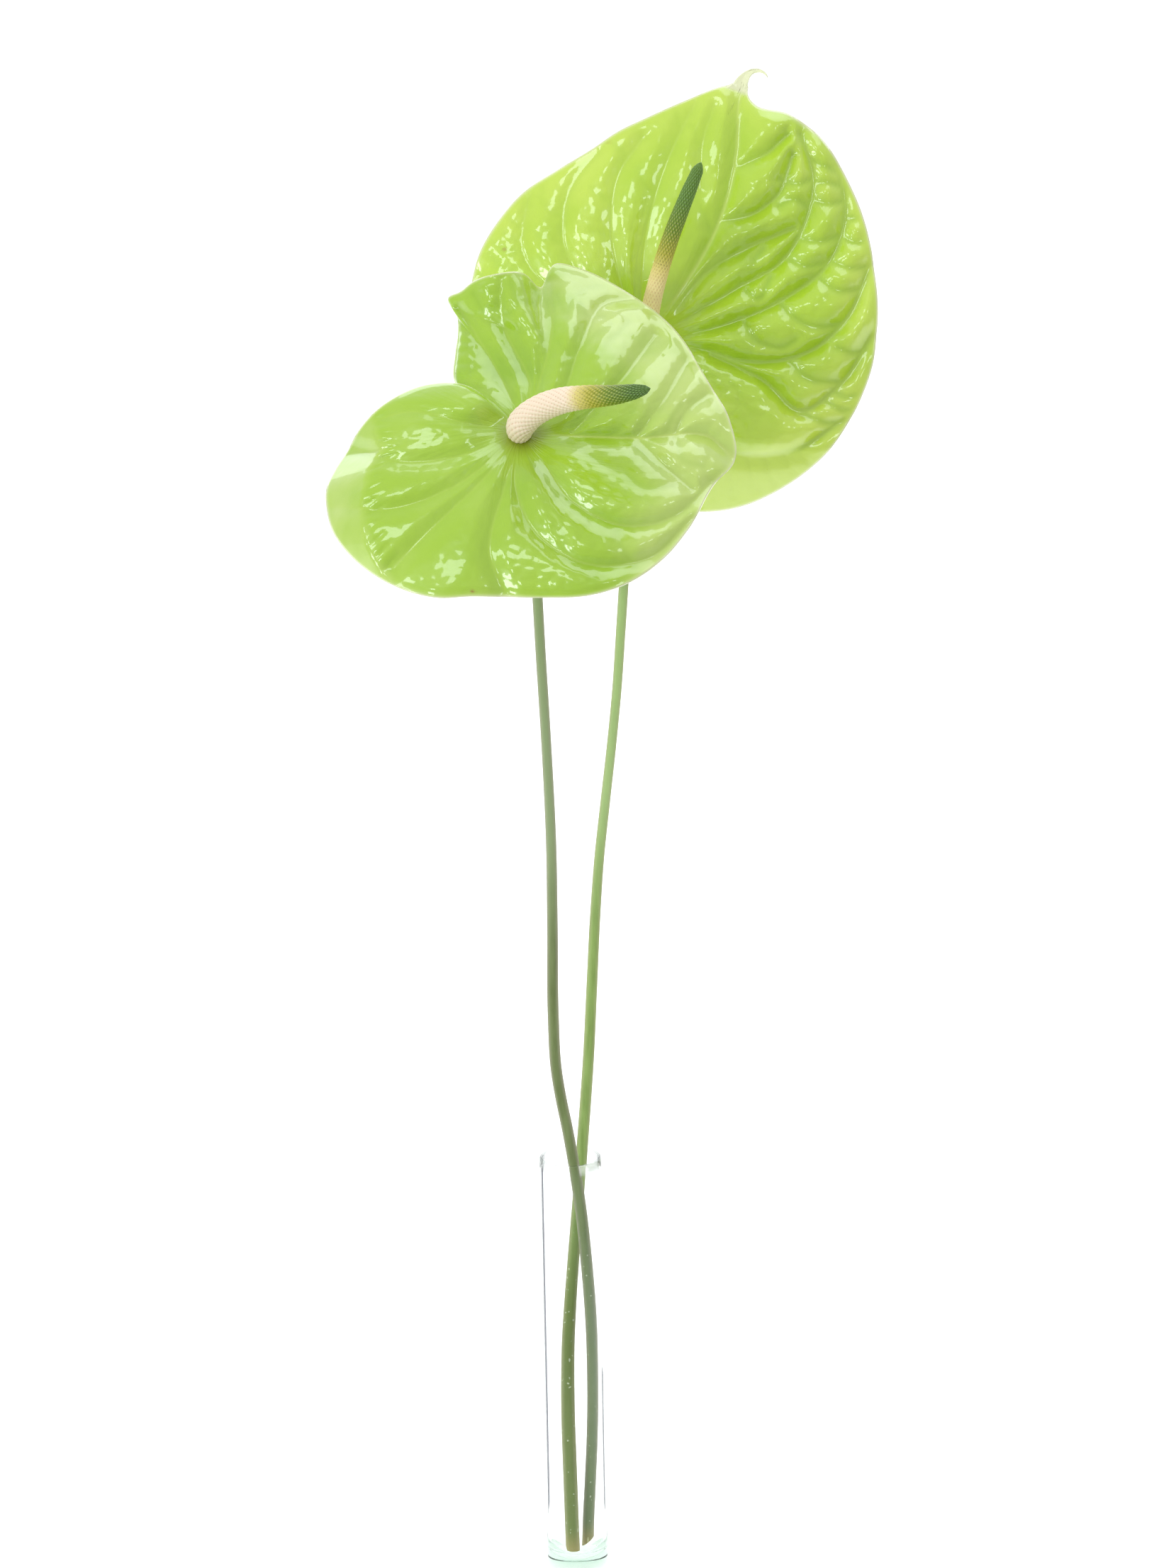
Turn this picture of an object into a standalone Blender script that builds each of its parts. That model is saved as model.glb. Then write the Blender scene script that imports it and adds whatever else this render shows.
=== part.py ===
"""Two cut anthurium flowers standing in a narrow glass tube vase.

Each flower is a stem, a waxy heart-shaped spathe and a spadix whose lower part is cream and
whose upper part is dark green. The origin is the middle of the underside of the vase, +Z is
up and -Y is the side that the spathes face.
"""
import math

import bmesh
import bpy
import numpy as np
from mathutils import Vector

MM = 0.001
GAP = 0.3 * MM
MERGE_DISTANCE = 0.001 * MM

GLASS_RADIUS = 14.0 * MM
GLASS_HEIGHT = 200.0 * MM
GLASS_WALL = 1.5 * MM
GLASS_FLOOR = 6.0 * MM
GLASS_CORNER = 9.0 * MM
GLASS_FOOT_ROUND = 1.2 * MM
GLASS_SEGMENTS = 32
BORE_RADIUS = GLASS_RADIUS - GLASS_WALL

STEM_SIDES = 12
STEM_NECK_RADIUS = 2.9 * MM
STEM_NECK = 30.0 * MM
STEM_LEAD = 2.5 * MM
STEM_CROWDING = 1.6
STEM_RINGS = 44

SPATHE_THICKNESS = 0.8 * MM
SPATHE_COLUMNS = 90
SPATHE_ROWS = 11
SPATHE_TAIL_CROWDING = 2.4
SPATHE_DISC = 8.0 * MM
SPATHE_DISH_WIDTH = 18.0 * MM
SPATHE_DISH_DEPTH = 3.0 * MM
SPATHE_RECURVE = 8.0 * MM
FRONT_WAVE = 1.5 * MM
BACK_WAVE = 1.3 * MM
VEIN_DEPTH = 3.0 * MM
VEIN_WIDTH = 5.0 * MM
MIDRIB_DEPTH = 2.0 * MM
MIDRIB_WIDTH = 8.0 * MM

SPADIX_SIDES = 20
FLORET_HEIGHT = 0.45 * MM
FLORET_ROW = 1.8 * MM

# The front spathe: the hub where its stem joins it, how far its face looks up, and the angle
# between that and the sight line along which its outline below is drawn.
FRONT_HUB = Vector((-14.5, -50.0, 545.2)) * MM
FRONT_FACE_UP = math.radians(48.0)
FRONT_TILT = math.radians(35.8)
# Its outline from one side of the notch round to the other, as angle in degrees from the
# right and distance from the hub in millimetres.
FRONT_OUTLINE = (
    (-243, 9), (-233, 20), (-226, 36), (-213, 48), (-196, 60.5), (-180, 71.2), (-174, 75.2),
    (-168, 81.7), (-162, 88), (-155, 92.1), (-148, 94.8), (-140, 95.7), (-130, 95.4),
    (-121, 94), (-113, 91.3), (-105, 86.6), (-97, 84.8), (-84, 85.5), (-72, 88.5),
    (-60, 89.8), (-48, 88.8), (-36, 86.8), (-19, 86.5), (-11, 92), (3, 89), (18, 84),
    (39, 85.5), (60, 88), (74, 91.5), (80, 92), (84, 78), (89, 85), (98, 85.4), (104, 83.6),
    (109, 80.3), (112.8, 79.8), (113.6, 68.5), (117, 59.8), (123, 51.8), (136, 39.5), (142, 22),
)
FRONT_HUB_ANGLES = (-243, 108)
# Its main veins, in millimetres to the right of the hub and up from it.
FRONT_MIDRIB = ((0, 0), (19, -2), (50, -4), (80, -4), (90, -15))
FRONT_VEINS = (
    ((0, 0), (8, -13), (22, -37), (43, -49), (64, -45), (80, -28)),
    ((0, 0), (-3, -24), (4, -49), (30, -69), (53, -66), (72, -46)),
    ((0, 0), (-12, -18), (-41, -52), (-55, -69)),
    ((0, 0), (-8, -30), (-14, -62), (-8, -82)),
    ((0, 0), (-30, -28), (-54, -38), (-80, -37)),
    ((0, 0), (-28, -12), (-52, -14), (-76, -4)),
    ((0, 0), (-24, 6), (-48, 12), (-62, 8)),
    ((0, 0), (14, 12), (26, 45), (37, 68), (50, 71)),
    ((0, 0), (8, 26), (14, 61), (12, 80)),
    ((0, 0), (4, 24), (-7, 57), (-8, 82)),
    ((0, 0), (-4, 16), (-14, 42), (-27, 67)),
    ((22, 0), (41, 24), (58, 50)),
    ((49, -4), (59, 12), (72, 36)),
    ((65, -4), (71, 10), (80, 18)),
    ((49, -4), (61, -19), (72, -31)),
)
FRONT_FOLD_ANGLES = (-190, -172, -158, -148, -138, -125)
FRONT_FOLD_SHARES = (1.0, 0.78, 0.79, 0.84, 0.91, 1.0)
FRONT_FOLD_SLOPE = 0.75
FRONT_ROLLED_BACK = 9 * MM
FRONT_LOWER_LOBE_RISE = 6 * MM
FRONT_UPPER_LOBE_TUCK = 8 * MM
FRONT_LIP_START = (-26 * MM, 66 * MM)
FRONT_LIP_DIRECTION = (0.447, 0.894)
FRONT_LIP_SLOPE = 0.6

BACK_HUB = Vector((39.8, 45.0, 565.3)) * MM
BACK_FACE_UP = math.radians(22.0)
BACK_TILT = math.radians(10.5)
BACK_OUTLINE = (
    (-113, 10), (-108, 32), (-99, 56), (-85, 74.6), (-70, 82.5), (-60, 86.6), (-52, 89),
    (-42, 92), (-34, 94.4), (-24, 97), (-16, 98.9), (-6, 101.5), (2, 102.8), (20, 107.7),
    (30, 112), (38, 115.5), (44, 118.3), (50, 120.3), (57, 120), (64.3, 117), (66.3, 119.5),
    (66.8, 121.6), (67.1, 124.4), (67.2, 127.4), (67.5, 130.9), (67.7, 133.9), (67.85, 137.4),
    (68, 139.7), (68.25, 135.4), (68.4, 132.4), (68.65, 129.9), (69.05, 127.4), (69.8, 124.5),
    (70.7, 121.7), (73, 118.4), (80, 108.8), (88, 100.5), (96, 94.7), (104, 89.2),
    (116, 85.7), (128, 85.5), (140, 84), (150, 83), (165, 80), (185, 78), (205, 77),
    (219, 68), (230, 50), (238, 28), (241, 10),
)
BACK_HUB_ANGLES = (-113, 241)
BACK_MIDRIB = ((0, 0), (9, 12), (34, 53), (42, 82), (44, 107), (48, 122))
BACK_VEINS = (
    ((0, 0), (17, 9), (42, 23), (61, 34), (72, 52), (76, 70), (71, 91)),
    ((0, 0), (17, 2), (41, 8), (63, 18), (81, 32), (90, 56), (87, 77)),
    ((0, 0), (23, -4), (49, -11), (73, -6), (89, 8), (100, 31)),
    ((29, -7), (53, -20), (67, -33), (85, -22), (100, 0)),
    ((0, 0), (16, -23), (39, -51), (63, -51), (87, -37)),
    ((0, 0), (2, -28), (10, -54), (18, -75)),
    ((13, 13), (28, 30), (45, 40), (67, 49)),
    ((34, 53), (47, 55), (59, 63), (67, 82)),
    ((43, 77), (57, 84), (65, 91)),
    ((0, 0), (-1, 28), (3, 55), (11, 79), (25, 107)),
    ((0, 0), (-10, 25), (-14, 51), (-10, 75), (1, 91)),
    ((0, 0), (-22, 19), (-35, 45), (-32, 67), (-19, 85)),
    ((0, 0), (-36, 19), (-53, 41), (-50, 65)),
    ((0, 0), (-42, 0), (-68, 12), (-72, 32)),
    ((0, 0), (-34, -20), (-62, -28)),
    ((0, 0), (-18, -28), (-34, -52)),
    ((26, 67), (27, 88), (33, 105)),
)
BACK_BODY_RADIUS = 120 * MM
BACK_DROOP_LINE = -50 * MM
BACK_DROOP_SLOPE = 0.8
BACK_CHEEK_DEPTH = 3 * MM
BACK_TIP_SWEEP = 6 * MM
# The tail leaves the body at this angle and distance and heads more steeply up. It curls over
# to the right, runs level this far along, and its turn grows as this power of the way.
BACK_TAIL_ANGLE = math.radians(68.0)
BACK_TAIL_START = 122.4 * MM
BACK_TAIL_HEADING = math.radians(84.0)
BACK_TAIL_LENGTH = 20 * MM
BACK_TAIL_LEVEL = 11 * MM
BACK_TAIL_CURL = 1.43

# The spadices, in millimetres right of the hub, up from it as seen, and out from the spathe.
FRONT_SPADIX = ((0, 0, 0.7), (-0.5, 0.8, 2.5), (-0.5, 3.5, 6.5), (2.5, 8, 11.5),
                (8, 12.5, 17.5), (16, 16.2, 25), (26, 18, 34), (40, 19, 46),
                (50, 20.8, 54.5), (54.5, 21.8, 58))
BACK_SPADIX = ((0, 0, 0.7), (0.2, 0.6, 3), (1, 4, 9), (3, 16, 18), (7, 31, 26),
               (11.3, 44, 32), (18, 61, 40), (25.3, 78, 47))
# Their radius in millimetres at fractions of their length.
FRONT_SPADIX_RADII = ((0, 3.8), (0.03, 4.9), (0.1, 5.4), (0.33, 4.8), (0.5, 4.5), (0.65, 4.2),
                      (0.8, 3.6), (0.9, 2.8), (0.95, 1.9), (0.99, 1.1), (1, 0.6))
BACK_SPADIX_RADII = ((0, 3.6), (0.03, 4.3), (0.15, 4.5), (0.3, 4.1), (0.5, 3.6), (0.7, 3.3),
                     (0.85, 2.8), (0.95, 2.0), (0.99, 1.1), (1, 0.6))
FRONT_CREAM_SHARE = 0.54
BACK_CREAM_SHARE = 0.47

# The stems from their cut lower ends up to the necks behind the spathes, in millimetres. They
# cross at the vase's rim, each leaning over to the side away from its foot.
FRONT_STEM = ((4.8, 5.9, 6.7), (5.4, 5.1, 21.4), (6.4, 4.2, 38), (7.6, 2.6, 60),
              (8.2, 1.3, 78), (8.35, 0, 95), (8.1, -1.9, 117), (7.35, -3.3, 135),
              (6.4, -4.6, 150), (4.5, -6.5, 174.5), (1.1, -8.7, 203), (-1.1, -10.2, 217.6),
              (-3.5, -12.1, 231.7), (-5.35, -14.4, 246), (-6.25, -17.9, 273),
              (-5.8, -22.4, 315), (-5.6, -27.3, 355), (-6.8, -33.8, 403), (-8.3, -39.3, 442.6),
              (-9.9, -43, 485), (-12.9, -44, 527), (-14.4, -46.5, 539))
BACK_STEM = ((-2.1, -3.9, 7.4), (-2.35, -3.2, 20), (-2.6, -2.3, 35.6), (-2.9, -1.2, 53),
             (-3.2, 0, 73), (-3.1, 1, 90), (-2.5, 2.3, 110), (-1.3, 3.3, 127.4),
             (0.4, 4.6, 147), (3.1, 6.3, 175), (5.7, 7.7, 204), (7.5, 10.3, 223.7),
             (9.1, 12.3, 243), (11.2, 15.4, 276), (13.3, 18.3, 308.5), (15.5, 20.7, 334),
             (18.7, 23.2, 360), (22.0, 25.6, 386), (24.8, 28.9, 411), (26.9, 32.5, 436),
             (31.9, 41, 495), (37.6, 50, 545), (39.5, 51.5, 558))
# Their radius at some heights, in millimetres: they grow thicker towards their feet.
FRONT_STEM_RADII = ((0, 2.8), (35, 2.7), (90, 2.6), (280, 2.5), (330, 2.37), (400, 2.2),
                    (520, 2.3))
BACK_STEM_RADII = ((0, 3.2), (60, 3.2), (85, 3.15), (110, 3.0), (140, 2.75), (215, 2.58),
                   (265, 2.5), (300, 2.4), (330, 2.25), (400, 2.12), (520, 2.3))
FRONT_CUT_NORMAL = Vector((0.66, 0.0, -0.75))


def clear_scene():
    for old in list(bpy.data.objects):
        bpy.data.objects.remove(old, do_unlink=True)


def new_material(name, colour, roughness, transmission=0.0):
    material = bpy.data.materials.new(name)
    material.use_nodes = True
    shader = material.node_tree.nodes["Principled BSDF"]
    shader.inputs["Base Color"].default_value = (*colour, 1.0)
    shader.inputs["Roughness"].default_value = roughness
    shader.inputs["Metallic"].default_value = 0.0
    shader.inputs["Transmission Weight"].default_value = transmission
    return material


def new_object(name, bm, material):
    """Return an object made from the bmesh, with its faces turned outwards."""
    bmesh.ops.recalc_face_normals(bm, faces=bm.faces)
    mesh = bpy.data.meshes.new(name)
    bm.to_mesh(mesh)
    bm.free()
    mesh.materials.append(material)
    mesh.shade_smooth()
    mesh.set_sharp_from_angle(angle=math.radians(40))
    obj = bpy.data.objects.new(name, mesh)
    bpy.context.scene.collection.objects.link(obj)
    return obj


def ramp(low, high, x):
    """Return 0 below low, 1 above high and a smooth step between."""
    t = np.clip((x - low) / (high - low), 0.0, 1.0)
    return t * t * (3.0 - 2.0 * t)


def smooth_curve(points, count, crowding=1.0):
    """Return points on a smooth curve through the given ones, evenly spaced or crowded late."""
    points = np.array(points, float)
    knots = np.append(0.0, np.cumsum(np.linalg.norm(np.diff(points, axis=0), axis=1)))
    slopes = np.gradient(points, knots, axis=0)
    fine = np.linspace(0.0, knots[-1], 40 * len(points))
    span = np.clip(np.searchsorted(knots, fine, side="right") - 1, 0, len(points) - 2)
    width = knots[span + 1] - knots[span]
    t = (fine - knots[span]) / width
    first, last = points[span], points[span + 1]
    leave, arrive = slopes[span] * width[:, None], slopes[span + 1] * width[:, None]
    t = t[:, None]
    path = (first * (1 + 2 * t) * (1 - t) ** 2 + leave * t * (1 - t) ** 2
            + last * t * t * (3 - 2 * t) + arrive * t * t * (t - 1))
    lengths = np.append(0.0, np.cumsum(np.linalg.norm(np.diff(path, axis=0), axis=1)))
    stops = lengths[-1] * (1.0 - (1.0 - np.linspace(0.0, 1.0, count)) ** crowding)
    return np.stack([np.interp(stops, lengths, axis) for axis in path.T], axis=1)


def distance_to(path, x, y):
    """Return each point's distance to the polyline, in the plane of the spathe."""
    nearest = np.full(x.shape, np.inf)
    for start, end in zip(path[:-1], path[1:]):
        along = end - start
        t = ((x - start[0]) * along[0] + (y - start[1]) * along[1]) / (along @ along)
        t = np.clip(t, 0.0, 1.0)
        gap = np.hypot(x - start[0] - t * along[0], y - start[1] - t * along[1])
        nearest = np.minimum(nearest, gap)
    return nearest


def facing_of(face_up):
    """Return the way a spathe faces, in the frame of the vase."""
    return Vector((0.0, -math.cos(face_up), math.sin(face_up)))


def make_flower(name, hub, face_up):
    """Return an empty at the spathe's hub: X to the right, Y up the blade and Z out of it."""
    flower = bpy.data.objects.new(name, None)
    bpy.context.scene.collection.objects.link(flower)
    flower.location = hub
    flower.rotation_euler = (math.pi / 2 - face_up, 0.0, 0.0)
    return flower


def on_flower(tilt, x, y, depth):
    """Place points given right of the hub, up as seen, and out from the spathe.

    A point with depth slides along the sight line, so the outline stays as it is seen. The
    tilt is the angle between the sight line and the way the spathe faces.
    """
    return np.stack([x, y - depth * math.tan(tilt), depth], axis=-1)


def spathe_spokes(outline, body_radius, hub_angles):
    """Return x, y, the angle and the share of the way out for a fan of spokes.

    The spokes leave the hub evenly between two angles and bend to meet the outline. They
    crowd into a tail that passes the spathe's body, and the share is measured against the
    body, so the tail counts as margin.
    """
    corners = [(radius * MM * math.cos(math.radians(angle)),
                radius * MM * math.sin(math.radians(angle))) for angle, radius in outline]
    fine = smooth_curve(corners, 20 * len(corners))
    density = np.where(np.linalg.norm(fine[1:], axis=1) > body_radius, SPATHE_TAIL_CROWDING, 1)
    way = np.append(0.0, np.cumsum(np.linalg.norm(np.diff(fine, axis=0), axis=1) * density))
    stops = np.linspace(0.0, way[-1], SPATHE_COLUMNS + 1)
    margin_x, margin_y = (np.interp(stops, way, axis) for axis in fine.T)
    reach = np.hypot(margin_x, margin_y)
    angle = np.unwrap(np.arctan2(margin_y, margin_x))
    angle += math.radians(outline[0][0]) - angle[0]
    leave = np.radians(np.linspace(*hub_angles, SPATHE_COLUMNS + 1))
    step = np.linspace(0.0, 1.0, SPATHE_ROWS + 1)[:, None]
    turned = angle + (leave - angle) * (1.0 - step) ** 2
    x = reach * step * np.cos(turned)
    y = reach * step * np.sin(turned)
    share = np.minimum(1.0, reach * step / np.minimum(reach, body_radius))
    return x, y, np.broadcast_to(np.degrees(angle), x.shape), share


def spathe_relief(midrib, veins, x, y):
    """Return the bulge between the veins, zero along them and near the hub."""
    rib = distance_to(smooth_curve(np.array(midrib) * MM, 24), x, y)
    nearest = rib
    for vein in veins:
        path = smooth_curve(np.array(vein) * MM, 24)
        nearest = np.minimum(nearest, distance_to(path, x, y))
    away = ramp(SPATHE_DISC, SPATHE_DISC + SPATHE_DISH_WIDTH, np.hypot(x, y))
    bulge = VEIN_DEPTH * (1.0 - np.exp(-(nearest / VEIN_WIDTH) ** 2))
    valley = MIDRIB_DEPTH * np.exp(-(rib / MIDRIB_WIDTH) ** 2)
    return away * (SPATHE_DISH_DEPTH + bulge - valley)


def front_form(x, y, angle, share):
    """Return the front spathe's large bends.

    Its margin rolls back, most at the left and the top. The lower lobe rises beside the
    notch, the upper lobe tucks in behind it, and the corner over them turns up as a lip.
    """
    away = ramp(SPATHE_DISC, 4 * SPATHE_DISC, np.hypot(x, y))
    roll = -SPATHE_RECURVE * share ** 4
    fold_share = np.interp(angle, FRONT_FOLD_ANGLES, FRONT_FOLD_SHARES)
    fold = -FRONT_FOLD_SLOPE * np.maximum(0.0, 1.0 - fold_share / np.maximum(share, 0.1))
    fold = fold * np.hypot(x, y)
    back = ramp(0.55, 1.0, share) * ramp(20, 50, angle) * ramp(90, 78, angle)
    raised = FRONT_LOWER_LOBE_RISE * ramp(-150, -215, angle)
    tucked = -FRONT_UPPER_LOBE_TUCK * ramp(70, 125, angle)
    beyond = ((x - FRONT_LIP_START[0]) * FRONT_LIP_DIRECTION[0]
              + (y - FRONT_LIP_START[1]) * FRONT_LIP_DIRECTION[1])
    lip = FRONT_LIP_SLOPE * np.maximum(0.0, beyond) * ramp(84, 98, angle)
    wave = FRONT_WAVE * np.sin(np.radians(angle) * 9.0) * share ** 3
    return (roll + fold + lip + wave - FRONT_ROLLED_BACK * back
            + away * (raised + tucked))


def back_form(x, y, angle, share):
    """Return the back spathe's large bends: full cheeks, drooping lobes and a swept-back tip."""
    distance = np.hypot(x, y)
    away = ramp(SPATHE_DISC, 4 * SPATHE_DISC, distance)
    roll = -SPATHE_RECURVE * share ** 4
    cheek = BACK_CHEEK_DEPTH * np.sin(math.pi * share) * away
    droop = -BACK_DROOP_SLOPE * np.maximum(0.0, BACK_DROOP_LINE - y)
    tip = ramp(BACK_BODY_RADIUS - 8 * MM, BACK_BODY_RADIUS + 16 * MM, distance)
    wave = BACK_WAVE * np.sin(np.radians(angle) * 8.0) * share ** 3
    return roll + cheek + droop + wave - BACK_TIP_SWEEP * tip


def hook_tail(x, y):
    """Curl the long tail of the back spathe over to the right."""
    axis = BACK_TAIL_ANGLE
    along = x * math.cos(axis) + y * math.sin(axis) - BACK_TAIL_START
    aside = x * math.sin(axis) - y * math.cos(axis)
    way = np.linspace(0.0, BACK_TAIL_LENGTH, 80)
    heading = BACK_TAIL_HEADING * (1.0 - (way / BACK_TAIL_LEVEL) ** BACK_TAIL_CURL)
    middle_x = BACK_TAIL_START * math.cos(axis) + np.cumsum(np.cos(heading)) * way[1]
    middle_y = BACK_TAIL_START * math.sin(axis) + np.cumsum(np.sin(heading)) * way[1]
    turn = np.interp(along, way, heading)
    curled_x = np.interp(along, way, middle_x) + aside * np.sin(turn)
    curled_y = np.interp(along, way, middle_y) - aside * np.cos(turn)
    return np.where(along > 0.0, curled_x, x), np.where(along > 0.0, curled_y, y)


def make_spathe(name, points, material, flower):
    """Make a spathe: a fan of triangles through the grid of points, made solid."""
    rows, columns = points.shape[0] - 1, points.shape[1] - 1
    bm = bmesh.new()
    bmesh.ops.create_grid(bm, x_segments=columns, y_segments=rows, size=1.0)
    for vert in bm.verts:
        column = round((vert.co.x + 1.0) / 2.0 * columns)
        row = round((vert.co.y + 1.0) / 2.0 * rows)
        vert.co = points[row, column]
    bmesh.ops.remove_doubles(bm, verts=bm.verts, dist=MERGE_DISTANCE)
    bmesh.ops.triangulate(bm, faces=bm.faces, quad_method="SHORT_EDGE")
    obj = new_object(name, bm, material)
    obj.parent = flower
    solid = obj.modifiers.new("Thickness", "SOLIDIFY")
    solid.thickness = SPATHE_THICKNESS
    solid.offset = 0.0
    solid.use_quality_normals = True


def front_spathe(material, flower):
    x, y, angle, share = spathe_spokes(FRONT_OUTLINE, math.inf, FRONT_HUB_ANGLES)
    depth = front_form(x, y, angle, share) + spathe_relief(FRONT_MIDRIB, FRONT_VEINS, x, y)
    make_spathe("spathe_front", on_flower(FRONT_TILT, x, y, depth), material, flower)


def back_spathe(material, flower):
    x, y, angle, share = spathe_spokes(BACK_OUTLINE, BACK_BODY_RADIUS, BACK_HUB_ANGLES)
    depth = back_form(x, y, angle, share) + spathe_relief(BACK_MIDRIB, BACK_VEINS, x, y)
    x, y = hook_tail(x, y)
    make_spathe("spathe_back", on_flower(BACK_TILT, x, y, depth), material, flower)


def ring_axes(path, square_start, square_end):
    """Return two directions across the path at each of its points, without twisting.

    An end that sits on a spathe is given the way the spathe faces, and is cut square to it.
    """
    tangents = np.gradient(path, axis=0)
    tangents /= np.linalg.norm(tangents, axis=1)[:, None]
    if square_start is not None:
        tangents[0] = square_start
    if square_end is not None:
        tangents[-1] = square_end
    across = np.cross(tangents[0], (0.3, 0.5, 0.2))
    sides = []
    for tangent in tangents:
        across = across - (across @ tangent) * tangent
        across = across / np.linalg.norm(across)
        sides.append(across)
    sides = np.array(sides)
    return sides, np.cross(tangents, sides)


def make_tube(path, radii, sides, relief=0.0, square_start=None, square_end=None):
    """Return a bmesh tube along the path with closed ends and, if asked, raised florets."""
    rings = len(path) - 1
    first, second = ring_axes(path, square_start, square_end)
    bm = bmesh.new()
    bmesh.ops.create_grid(bm, x_segments=sides, y_segments=rings, size=1.0)
    for vert in bm.verts:
        step = round((vert.co.x + 1.0) / 2.0 * sides) % sides
        ring = round((vert.co.y + 1.0) / 2.0 * rings)
        turn = 2.0 * math.pi * step / sides
        raised = relief if (step + ring) % 2 == 0 and 0 < ring < rings else 0.0
        out = (radii[ring] + raised) * (math.cos(turn) * first[ring]
                                        + math.sin(turn) * second[ring])
        vert.co = path[ring] + out
    bmesh.ops.remove_doubles(bm, verts=bm.verts, dist=MERGE_DISTANCE)
    bmesh.ops.holes_fill(bm, edges=bm.edges, sides=sides)
    bmesh.ops.triangulate(bm, faces=bm.faces, quad_method="SHORT_EDGE")
    bmesh.ops.recalc_face_normals(bm, faces=bm.faces)
    return bm


def make_spadix(names, tilt, points, radii, cream_share, materials, flower):
    """Make the cream and the green part of a spadix, covered in rows of florets."""
    x, y, out = np.array(points).T * MM
    line = on_flower(tilt, x, y, out)
    length = np.linalg.norm(np.diff(line, axis=0), axis=1).sum()
    count = round(length / FLORET_ROW)
    path = smooth_curve(line, count + 1)
    widths = np.interp(np.linspace(0.0, 1.0, count + 1), *zip(*radii)) * MM
    split = round(count * cream_share)
    along = path[split + 1] - path[split - 1]
    along /= np.linalg.norm(along)
    lower, upper = path[:split + 1], path[split:].copy()
    upper[0] += along * GAP
    out_of_blade = (0.0, 0.0, 1.0)
    base = make_tube(lower, widths[:split + 1], SPADIX_SIDES, FLORET_HEIGHT, out_of_blade,
                     along)
    tip = make_tube(upper, widths[split:], SPADIX_SIDES, FLORET_HEIGHT, along)
    new_object(names[0], base, materials[0]).parent = flower
    new_object(names[1], tip, materials[1]).parent = flower


def stem_path(points, hub, facing):
    """Return the stem's middle line, which ends on the spathe's underside."""
    joint = np.array(hub) - np.array(facing) * (SPATHE_THICKNESS / 2 + GAP)
    lead = joint - np.array(facing) * STEM_LEAD
    way = np.vstack([np.array(points) * MM, lead, joint])
    return smooth_curve(way, STEM_RINGS + 1, STEM_CROWDING)


def make_stem(name, path, widths, facing, material, cut_normal=None):
    """Make a stem that widens into a neck, cut on a slant if a cut direction is given."""
    below = np.linalg.norm(path - path[-1], axis=1)
    radii = np.interp(path[:, 2] / MM, *zip(*widths)) * MM
    radii = radii + (STEM_NECK_RADIUS - radii) * ramp(STEM_NECK, 0.0, below)
    foot = path[0]
    bm = make_tube(path - foot, radii, STEM_SIDES, square_end=facing)
    if cut_normal is not None:
        everything = bm.verts[:] + bm.edges[:] + bm.faces[:]
        middle = (0.0, 0.0, radii[0])
        cut = bmesh.ops.bisect_plane(bm, geom=everything, plane_co=middle,
                                     plane_no=cut_normal, clear_outer=True)
        rim = [part for part in cut["geom_cut"] if isinstance(part, bmesh.types.BMEdge)]
        bmesh.ops.holes_fill(bm, edges=rim, sides=0)
        bmesh.ops.triangulate(bm, faces=bm.faces)
    new_object(name, bm, material).location = foot


def turn_profile(profile, segments):
    """Return a bmesh solid turned round the Z axis from (radius, height) points."""
    bm = bmesh.new()
    verts = [bm.verts.new((radius, 0.0, height)) for radius, height in profile]
    edges = [bm.edges.new(pair) for pair in zip(verts[:-1], verts[1:])]
    bmesh.ops.spin(bm, geom=verts + edges, cent=(0, 0, 0), axis=(0, 0, 1),
                   angle=2 * math.pi, steps=segments, use_merge=True)
    bmesh.ops.remove_doubles(bm, verts=bm.verts, dist=MERGE_DISTANCE)
    bmesh.ops.recalc_face_normals(bm, faces=bm.faces)
    return bm


def arc(centre, radius, start, end, steps):
    """Return (radius, height) points on an arc, from start to end in degrees."""
    return [(centre[0] + radius * math.cos(math.radians(start + (end - start) * i / steps)),
             centre[1] + radius * math.sin(math.radians(start + (end - start) * i / steps)))
            for i in range(steps + 1)]


def make_vase(material):
    """Make the glass tube: a thick foot, thin walls and a melted round rim."""
    foot = GLASS_FOOT_ROUND
    outside = [(0.0, 0.0)] + arc((GLASS_RADIUS - foot, foot), foot, -90, 0, 3)
    rim = GLASS_WALL / 2
    lip = arc((GLASS_RADIUS - rim, GLASS_HEIGHT - rim), rim, 0, 180, 6)
    corner = (BORE_RADIUS - GLASS_CORNER, GLASS_FLOOR + GLASS_CORNER)
    inside = arc(corner, GLASS_CORNER, 0, -90, 6) + [(0.0, GLASS_FLOOR)]
    new_object("vase_glass", turn_profile(outside + lip + inside, GLASS_SEGMENTS), material)


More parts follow.
